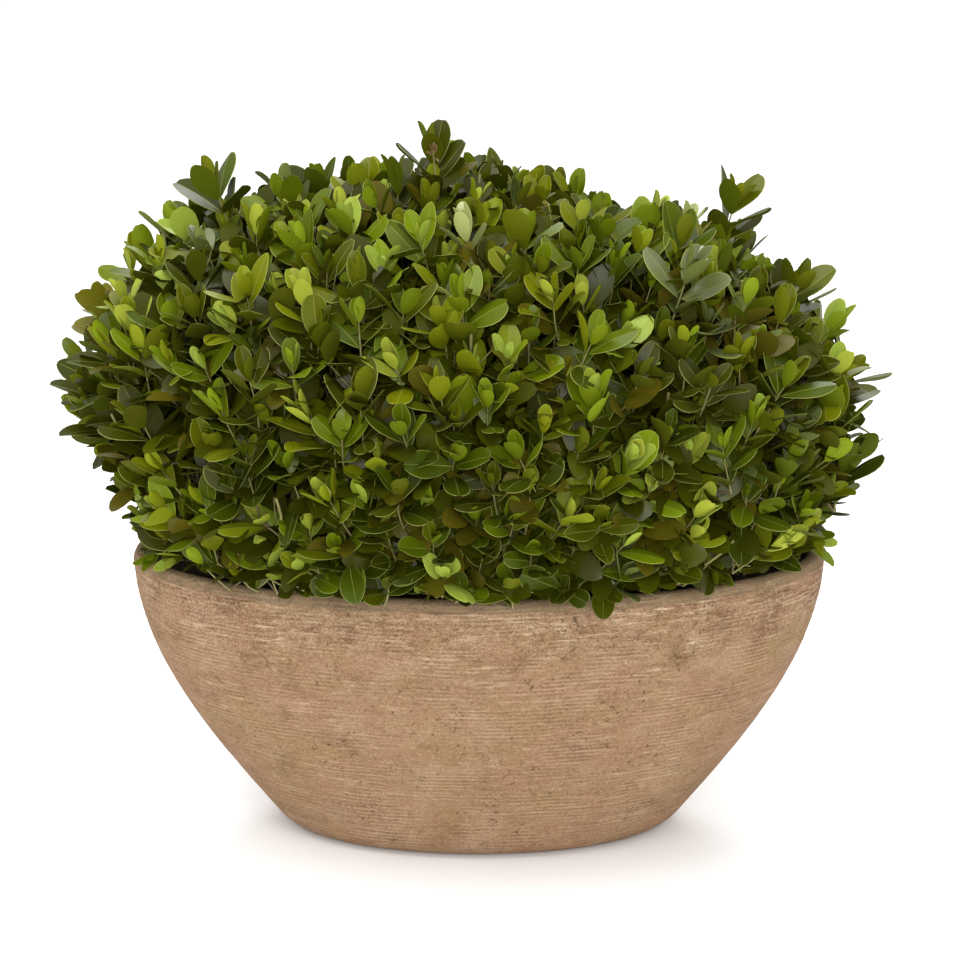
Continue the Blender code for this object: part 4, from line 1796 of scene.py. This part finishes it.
    def fits(
        self, shoot: Shoot, root: Vector, along: Vector, side: Vector, length: float, half_width: float
    ) -> bool:
        """Whether a leaf stays inside the model's box and clear of the pot.

        Args:
            shoot: The shoot that bears it.
            root: Where it starts.
            along: Which way it points.
            side: Which way its width runs.
            length: Its length.
            half_width: Half its width.

        Returns:
            True where it does.
        """
        drooping = shoot.kind is Kind.DROOPING
        overhang = self.droop_overhang if drooping else 0.0
        above = CLEARANCE if drooping else self.rim_room
        for share, out in LEAF_CORNERS:
            point = root + along * (length * share) + side * (half_width * out)
            if not in_box(point, self.box_margin):
                return False
            if not self.pot.clear(point, overhang, above):
                return False
            if not self.pot.clear(root.lerp(point, self.midway), overhang):
                return False
            if not drooping and self.pot.height < self.pot.underside(point) > point.z - above:
                return False
        return True

    def leaves_on(self, shoot: Shoot, chance: random.Random) -> list[tuple]:
        """The leaves of one shoot.

        Args:
            shoot: The shoot.
            chance: The source of their unevenness.

        Returns:
            Each leaf's root, turn, size, shape's number and tint's number.
        """
        if shoot.kind is Kind.CUT:
            return []
        side = across(shoot.line)
        first_turn = chance.uniform(0, math.pi)
        pairs = {Kind.INNER: INNER_PAIRS, Kind.BUD: BUD_PAIRS}.get(shoot.kind, LEAF_PAIRS)
        found = []
        for pair, (back, degrees, share) in enumerate(pairs):
            if back > shoot.length:
                continue
            for half in range(2):
                turn = first_turn + math.pi * half + math.pi / 2 * pair + chance.gauss(0, self.turn_spread)
                out = side.copy()
                out.rotate(Quaternion(shoot.line, turn))
                angle = degrees * shoot.spread + chance.gauss(0, self.angle_spread)
                angle = math.radians(min(angle, self.widest_angle))
                along = shoot.line * math.cos(angle) + out * math.sin(angle)
                face = shoot.line * math.sin(angle) - out * math.cos(angle)
                face = (face + (UP - along * UP.dot(along)) * self.skyward).normalized()
                face.rotate(Quaternion(along, chance.gauss(0, self.roll_spread)))
                face = (face - along * face.dot(along)).normalized()
                length = self.leaf_length * share * shoot.vigour * chance.uniform(*self.leaf_lengths)
                width = length * chance.uniform(*self.leaf_widths)
                root = shoot.tip - shoot.line * back + out * self.stem_side
                across_leaf = face.cross(along)
                if not self.fits(shoot, root, along, across_leaf, length, width * self.leaf_half_width):
                    continue
                turned = Matrix((along, across_leaf, face)).transposed().to_quaternion()
                shape, tint = self.shape_for(shoot, pair, chance), self.tint_for(shoot, pair, chance)
                found.append((root, turned, (length, width, length), shape, tint))
        return found

    @staticmethod
    def shape_for(shoot: Shoot, pair: int, chance: random.Random) -> int:
        """A leaf's shape: fine for the pairs that show, and plain for the rest.

        Args:
            shoot: The shoot that bears the leaf.
            pair: The number of its pair, from the tip down.
            chance: The source of the choice among shapes of one kind.

        Returns:
            The shape's number.
        """
        if shoot.kind in (Kind.INNER, Kind.BUD) or pair == 0:
            return len(FINE_SHAPES) + chance.randrange(len(PLAIN_SHAPES))
        if pair == 1 or (shoot.kind is Kind.TULIP and pair == 2):
            return chance.choice(YOUNG_SHAPES)
        return chance.randrange(len(FINE_SHAPES) - 1)

    def tint_for(self, shoot: Shoot, pair: int, chance: random.Random) -> int:
        """A leaf's tint: a step younger at the tip, and older lower down.

        Args:
            shoot: The shoot that bears the leaf.
            pair: The number of its pair, from the tip down.
            chance: The source of its unevenness.

        Returns:
            The tint's number.
        """
        number = shoot.tint.number
        if number >= 2 * AGES or shoot.kind is Kind.INNER:
            return number
        yellow, age = divmod(number, AGES)
        step = PAIR_AGES[pair] + chance.choice(LEAF_AGES)
        return Tint.aged(age + step, bool(yellow) != (chance.random() < self.other_yellow)).number

    @staticmethod
    def leaf_points(leaves: Sequence[tuple]) -> bpy.types.Mesh:
        """A mesh of one point for each leaf, which carries the leaf's turn, size, shape and tint.

        Args:
            leaves: Each leaf's root, turn, size, shape's number and tint's number.

        Returns:
            The mesh.
        """
        mesh = bpy.data.meshes.new("leaf_points")
        mesh.from_pydata([tuple(leaf[0]) for leaf in leaves], [], [])
        for place, (name, kind) in enumerate(LEAF_VALUES, start=1):
            values = [leaf[place] for leaf in leaves]
            if kind != "INT":
                values = [part for value in values for part in value]
            key = "vector" if kind == "FLOAT_VECTOR" else "value"
            mesh.attributes.new(name, kind, "POINT").data.foreach_set(key, values)
        return mesh

    def twig_lines(
        self, twigs: Sequence[tuple], shoots: Sequence[Shoot], chance: random.Random
    ) -> bpy.types.Mesh:
        """The lines that the twigs and the shoots of one mass follow.

        Args:
            twigs: Each twig's start and end, and the number of shoots that it carries.
            shoots: The shoots.
            chance: The source of their bows, and of the bare twigs.

        Returns:
            A mesh of edges.
        """
        wiring = Wiring()
        ending = {tuple(shoot.foot): shoot for shoot in shoots}
        for start, end, carried in twigs:
            thick = self.crown.radius_for(carried)
            thin = self.crown.radius_for(max(carried // 2, 1))
            bow = jitter(chance, self.twig_bow) * (end - start).length
            girths = (thick, (thick + thin) / 2, thin)
            wiring.add([start, start.lerp(end, 0.5) + bow, end], 1.0, girths, 0.0)
            shoot = ending.get(tuple(end)) if carried == 1 else None
            if shoot:
                bend = shoot.foot.lerp(shoot.tip, 0.5) + jitter(chance, self.shoot_bow)
                shares = self.cut_girths if shoot.kind is Kind.CUT else self.shoot_girths
                wiring.add([shoot.foot, bend, shoot.tip], thin, shares, 1.0)
                bare = self.bare_twig(shoot, chance)
                if bare:
                    wiring.add(bare, self.bare_radius, self.bare_girths, 1.0)
        return wiring.mesh()

    def bare_twig(self, shoot: Shoot, chance: random.Random) -> list[Vector]:
        """A thin bare twig beside a shoot, for a share of the shoots.

        Args:
            shoot: The shoot.
            chance: The source of whether it has one, and of the twig's line.

        Returns:
            The twig's three points, or none.
        """
        if shoot.kind is Kind.INNER or chance.random() > self.bare_share:
            return []
        away = (shoot.line + jitter(chance, self.bare_wander)).normalized()
        bow = across(away) * chance.uniform(-self.bare_bow, self.bare_bow)
        length = self.bare_length * chance.uniform(*self.bare_lengths)
        points = [shoot.foot, shoot.foot + away * length * 0.5 + bow, shoot.foot + away * length]
        clear = all(self.pot.clear(point, 0.0) for point in points)
        return points if clear and in_box(points[2], self.bare_margin) else []

    @staticmethod
    def leaf_recipe(finishes: Sequence[bpy.types.Material]) -> Recipe:
        """The tree that puts a leaf on each point.

        Args:
            finishes: The finish of each part of a leaf, tint by tint.

        Returns:
            The tree.
        """
        recipe = Recipe("leaves", Shapes="NodeSocketCollection")
        values = {"Collection": recipe.input("Shapes"), "Separate Children": True, "Reset Children": True}
        shapes = recipe.node("GeometryNodeCollectionInfo", {}, values)
        values = {
            "Points": recipe.input("Geometry"),
            "Instance": shapes,
            "Pick Instance": True,
            "Instance Index": recipe.attribute("shape", "INT"),
            "Rotation": recipe.attribute("turn", "QUATERNION"),
            "Scale": recipe.attribute("size", "FLOAT_VECTOR"),
        }
        placed = recipe.node("GeometryNodeInstanceOnPoints", {}, values)
        real = recipe.node("GeometryNodeRealizeInstances", {}, {"Geometry": placed})
        look = recipe.attribute("tint", "INT") * len(Part) + recipe.attribute("part", "INT")
        recipe.paint(real, look, finishes)
        return recipe

    @staticmethod
    def twig_recipe(finishes: Sequence[bpy.types.Material]) -> Recipe:
        """The tree that gives each line of edges a round skin.

        Args:
            finishes: The woody finish, then the green one.

        Returns:
            The tree.
        """
        recipe = Recipe("twigs", Sides="NodeSocketInt", Steps="NodeSocketInt")
        curve = recipe.node("GeometryNodeMeshToCurve", {}, {"Mesh": recipe.input("Geometry")})
        curve = recipe.node("GeometryNodeCurveSplineType", {"spline_type": "CATMULL_ROM"}, {"Curve": curve})
        values = {"Geometry": curve, "Resolution": recipe.input("Steps")}
        curve = recipe.node("GeometryNodeSetSplineResolution", {}, values)
        values = {"Resolution": recipe.input("Sides"), "Radius": 1.0}
        ring = recipe.node("GeometryNodeCurvePrimitiveCircle", {}, values)
        girth = recipe.attribute("girth", "FLOAT")
        values = {"Curve": curve, "Profile Curve": ring, "Scale": girth, "Fill Caps": True}
        skin = recipe.node("GeometryNodeCurveToMesh", {}, values)
        real = recipe.node("GeometryNodeRealizeInstances", {}, {"Geometry": skin})
        recipe.paint(real, recipe.attribute("young", "FLOAT"), finishes)
        return recipe

    @staticmethod
    def leaf_shapes() -> bpy.types.Collection:
        """A collection of one leaf of each shape, in the order of their numbers."""
        shapes = bpy.data.collections.new("leaf_shapes")
        for number, shape in enumerate((*FINE_SHAPES, *PLAIN_SHAPES)):
            mesh = shape.mesh(number)
            shapes.objects.link(bpy.data.objects.new(mesh.name, mesh))
        return shapes

    def build(self) -> None:
        """Makes the leaves and the twigs of each mass."""
        chance = random.Random(self.seed)
        spaces = self.crown.spaces()
        held: dict[str, list[Shoot]] = {name: [] for name in spaces}
        for shoot in self.shoots(chance):
            held[max(spaces, key=lambda name: self.crown.room(spaces[name], shoot.foot))].append(shoot)
        shapes = self.leaf_shapes()
        leaf_recipe = self.leaf_recipe([finish for tint in Tint for finish in tint.finishes()])
        twig_recipe = self.twig_recipe([self.wood.material(), self.green.material()])
        for name, hub in self.crown.hubs().items():
            leaves: list[tuple] = []
            shoots = []
            for shoot in held[name]:
                grown = self.leaves_on(shoot, chance)
                leaves += grown
                if grown or shoot.kind is Kind.CUT:
                    shoots.append(shoot)
            mesh = leaf_recipe.run(self.leaf_points(leaves), Shapes=shapes)
            add_piece("leaves_" + name, mesh, "leaf_green", "foliage_" + name)
            twigs = self.crown.grow(hub, [shoot.foot for shoot in shoots], spaces[name], chance)
            lines = self.twig_lines(twigs, shoots, chance)
            mesh = twig_recipe.run(lines, Sides=self.twig_sides, Steps=self.twig_steps)
            mesh.shade_smooth()
            add_piece("twigs_" + name, mesh, "bark")
            log.info("%s: %d shoots, %d leaves", name, len(shoots), len(leaves))
        for item in list(shapes.objects):
            bpy.data.objects.remove(item)
        bpy.data.collections.remove(shapes)


@dataclass
class Limb(ABC):
    """A round limb with ridged bark. Its kinds say where its middle runs, and how thick it is."""

    rows: int = field(default=40, kw_only=True)
    sides: int = field(default=14, kw_only=True)
    seed: float = field(default=0.0, kw_only=True)
    ridge: float = field(default=0.09, kw_only=True)
    coarse: tuple = field(default=(3, 0.06), kw_only=True)
    fine: tuple = field(default=(9, 0.12), kw_only=True)
    fine_share: float = field(default=0.6, kw_only=True)
    mean_depth: float = field(default=0.7, kw_only=True)
    look_ahead: float = field(default=0.01, kw_only=True)

    @abstractmethod
    def middle(self, share: float) -> Vector:
        """The limb's middle at a share of its length."""

    @abstractmethod
    def radius(self, share: float) -> float:
        """The limb's radius at a share of its length."""

    def roughness(self, out: Vector, row: float) -> float:
        """How far the bark stands out at a place.

        Args:
            out: Which way the place lies from the limb's middle.
            row: The number of its ring.

        Returns:
            The sum of the coarse and the fine ridges there.
        """
        (around, along), (finer, finer_along) = self.coarse, self.fine
        place = Vector((out.x * around, out.y * around, row * along + out.z * around + self.seed))
        rough = noise.noise(place)
        place = Vector((out.x * finer, out.y * finer, row * finer_along + out.z * finer - self.seed))
        return rough + self.fine_share * noise.noise(place)

    def mesh(self, finish: bpy.types.Material) -> bpy.types.Mesh:
        """The limb's skin.

        Args:
            finish: The bark.

        Returns:
            The mesh.
        """
        rings = []
        side = None
        for i in range(self.rows + 1):
            share = i / self.rows
            before, after = max(share - self.look_ahead, 0.0), min(share + self.look_ahead, 1.0)
            line = (self.middle(after) - self.middle(before)).normalized()
            side = across(line) if side is None else (side - line * side.dot(line)).normalized()
            beside = line.cross(side)
            middle, size = self.middle(share), self.radius(share)
            ring = []
            for k in range(self.sides):
                turn = 2 * math.pi * k / self.sides
                out = side * math.cos(turn) + beside * math.sin(turn)
                rough = self.roughness(out, share * self.rows)
                ring.append(middle + out * size * (1 - self.ridge * (self.mean_depth - rough)))
            rings.append(ring)
        return grid_mesh("limb", rings, finish)


@dataclass
class Stem(Limb):
    """The short stem, which tapers from a flared foot."""

    foot: float = 0.1333
    top: float = 0.190
    girth: tuple = ((0.0, 0.0185), (0.07, 0.0150), (0.22, 0.0128), (0.6, 0.0116), (1.0, 0.0102))

    def height(self, share: float) -> float:
        """The height of a share of its length."""
        return self.foot + (self.top - self.foot) * share

    def middle(self, share: float) -> Vector:
        """The stem's middle at a share of its length."""
        return UP * self.height(share)

    def radius(self, share: float) -> float:
        """The stem's radius at a share of its length."""
        return self.radius_at(self.height(share))

    def radius_at(self, height: float) -> float:
        """The stem's radius at a height.

        Args:
            height: The height above the floor.

        Returns:
            The radius, between those of the two nearest places in the list of girths.
        """
        share = (height - self.foot) / (self.top - self.foot)
        for (low, wide), (high, narrow) in zip(self.girth, self.girth[1:]):
            if share <= high:
                return wide + (narrow - wide) * max(share - low, 0.0) / (high - low)
        return self.girth[-1][1]


@dataclass
class Bough(Limb):
    """A tapering bough: a curve from the stem to its mass, then on in a straight line to the hub."""

    points: tuple[Vector, Vector, Vector, Vector]
    hub: Vector
    foot_radius: float = 0.0036
    tip_radius: float = 0.0027
    curved: float = 0.7
    straight: float = 0.3
    collar: float = 0.35
    collar_fall: float = 22.0
    narrowing: float = 0.2

    def curve(self, share: float) -> Vector:
        """The curve from the stem to the mass.

        Args:
            share: How far along it, from 0 to 1.

        Returns:
            The point there.
        """
        start, leave, arrive, end = self.points
        rest = 1 - share
        near = start * rest**3 + leave * (3 * rest * rest * share)
        return near + arrive * (3 * rest * share * share) + end * share**3

    def middle(self, share: float) -> Vector:
        """The bough's middle: along the curve, then straight on to the hub.

        Args:
            share: How far along the bough, from 0 to 1.

        Returns:
            The middle there.
        """
        if share <= self.curved:
            return self.curve(share / self.curved)
        return self.curve(1.0).lerp(self.hub, (share - self.curved) / self.straight)

    def radius(self, share: float) -> float:
        """The bough's taper, with a collar where it leaves the stem.

        Args:
            share: How far along the bough, from 0 to 1.

        Returns:
            The radius there.
        """
        plain = self.foot_radius + (self.tip_radius - self.foot_radius) * share
        collared = plain * (1 + self.collar * math.exp(-share * self.collar_fall))
        return collared * (1 - self.narrowing * max(share - self.curved, 0) / self.straight)


@dataclass
class Limbs:
    """The stem and the boughs, which are one piece."""

    crown: Crown
    stem: Stem = field(default_factory=lambda: Stem(rows=44, sides=48, seed=1.0))
    ring_levels: tuple = (0.146, 0.160)
    top_level: float = 0.182
    top_spread: float = 0.050
    sunk: float = 0.004
    ring_pull: float = 0.4
    top_pull: float = 0.014
    fork_leave: float = 0.022
    fork_arrive: float = 0.027
    seed_step: float = 7.0

    def ring_routes(self) -> dict[str, tuple[Vector, ...]]:
        """The four points of the curve of each bough to the ring of masses, by the mass's name."""
        middles = self.crown.hubs()
        found = {}
        for i, name in enumerate(self.crown.ring_names):
            hub = middles[name]
            level = self.ring_levels[i % 2]
            square = level_direction(2 * math.pi * i / len(self.crown.ring_names))
            outward = Vector((hub.x, hub.y, 0)).normalized()
            start = square * (self.stem.radius_at(level) - self.sunk) + UP * level
            end = self.crown.inner_point(name, hub)
            reach = (end - start).length * self.ring_pull
            found[name] = (start, start + square * reach, end - outward * reach, end)
        return found

    def top_routes(self) -> dict[str, tuple[Vector, ...]]:
        """The four points of the curve of each bough to the masses at the top, by the mass's name."""
        found = {}
        for i, name in enumerate(self.crown.top_names):
            away = Vector((i - 1, 0, 0))
            end = Vector((self.crown.centre.x, 0, self.crown.top_floor)) + away * self.top_spread
            if name == "top":
                start = UP * (self.stem.top - self.sunk)
                found[name] = (start, start + UP * self.top_pull, end - UP * self.top_pull, end)
            else:
                start = away * (self.stem.radius_at(self.top_level) - self.sunk) + UP * self.top_level
                found[name] = (start, start + away * self.fork_leave, end - UP * self.fork_arrive, end)
        return found

    def build(self) -> None:
        """Makes the stem and the boughs as one piece."""
        finish = Bark().material()
        routes = {**self.ring_routes(), **self.top_routes()}
        hubs = self.crown.hubs()
        meshes = [self.stem.mesh(finish)]
        for number, (name, points) in enumerate(routes.items()):
            meshes.append(Bough(points, hubs[name], seed=self.seed_step * number).mesh(finish))
        nodes = ["stem"] + ["bough_" + name for name in routes]
        add_piece("stem_and_boughs", join_meshes("limbs", meshes), "bark", *nodes)


@dataclass(frozen=True)
class Lamp:
    """A square soft light."""

    name: str
    place: tuple[float, float, float]
    power: float
    size: float = 0.8

    def light(self, target: Vector) -> None:
        """Adds the light to the scene.

        Args:
            target: The place that it looks at.
        """
        data = bpy.data.lights.new(self.name, "AREA")
        data.size = self.size
        data.energy = self.power
        lamp = bpy.data.objects.new(self.name, data)
        lamp.location = self.place
        lamp.rotation_euler = (target - lamp.location).to_track_quat("-Z", "Y").to_euler()
        bpy.context.scene.collection.objects.link(lamp)


@dataclass
class Studio:
    """The pale floor, the soft lights and the camera."""

    target: Vector = field(default_factory=lambda: Vector((0.0005, 0.0, 0.1696)))
    elevation: float = 17.0
    distance: float = 1.6
    lens: float = 129.0
    near: float = 0.01
    far: float = 100.0
    floor_size: float = 60.0
    floor_skin: Skin = Skin("floor", (0.93, 0.93, 0.93), 0.9)
    dome_foot: float = 0.39
    dome_rise: float = 0.95
    dome_levels: Levels = (-0.2, 1.1)
    lamps: tuple[Lamp, ...] = (
        Lamp("overhead", (-0.40, -0.45, 1.5), 13.0),
        Lamp("behind", (0.25, 1.1, 1.2), 10.0),
        Lamp("front_fill", (0.1, -1.7, 0.75), 17.0),
    )

    def dome(self) -> None:
        """A white sky, dim at its foot and bright at its top."""
        world = bpy.data.worlds.new("studio")
        world.use_nodes = True
        sky = Graph(world.node_tree)
        direction = sky.node("ShaderNodeTexCoord", output="Generated")
        rise = sky.node("ShaderNodeSeparateXYZ", {}, {0: direction}, "Z")
        background = world.node_tree.nodes["Background"]
        background.inputs["Color"].default_value = (1.0, 1.0, 1.0, 1.0)
        strength = rise.ramp(*self.dome_levels) * self.dome_rise + self.dome_foot
        world.node_tree.links.new(strength.socket, background.inputs["Strength"])
        bpy.context.scene.world = world

    def floor(self) -> None:
        """A wide pale floor."""
        half = self.floor_size / 2
        corners = [(-half, -half, 0), (half, -half, 0), (half, half, 0), (-half, half, 0)]
        mesh = bpy.data.meshes.new("floor")
        mesh.from_pydata(corners, [], [(0, 1, 2, 3)])
        mesh.materials.append(self.floor_skin.material())
        floor = bpy.data.objects.new("floor", mesh)
        bpy.context.scene.collection.objects.link(floor)

    def camera(self) -> None:
        """The camera, in front of the plant and a little above it."""
        scene = bpy.context.scene
        camera = bpy.data.objects.new("camera", bpy.data.cameras.new("camera"))
        up = math.radians(self.elevation)
        back = Vector((0, -math.cos(up), math.sin(up)))
        camera.location = self.target + back * self.distance
        camera.rotation_euler = (-back).to_track_quat("-Z", "Y").to_euler()
        camera.data.lens = self.lens
        camera.data.clip_start, camera.data.clip_end = self.near, self.far
        scene.collection.objects.link(camera)
        scene.camera = camera

    def build(self) -> None:
        """Sets the whole studio."""
        settings = bpy.context.scene.view_settings
        settings.view_transform = "Standard"
        settings.look = "None"
        self.dome()
        self.floor()
        for lamp in self.lamps:
            lamp.light(self.target)
        self.camera()


def main() -> None:
    """Builds the plant and its studio in order, and writes how large it came out."""
    logging.basicConfig(level=logging.INFO, format="%(message)s", stream=sys.stdout)
    pot = Pot()
    crown = Crown(pot)
    pot.build()
    Soil(pot).build()
    Limbs(crown).build()
    Foliage(crown, pot).build()
    Studio().build()


if __name__ == "__main__":
    main()
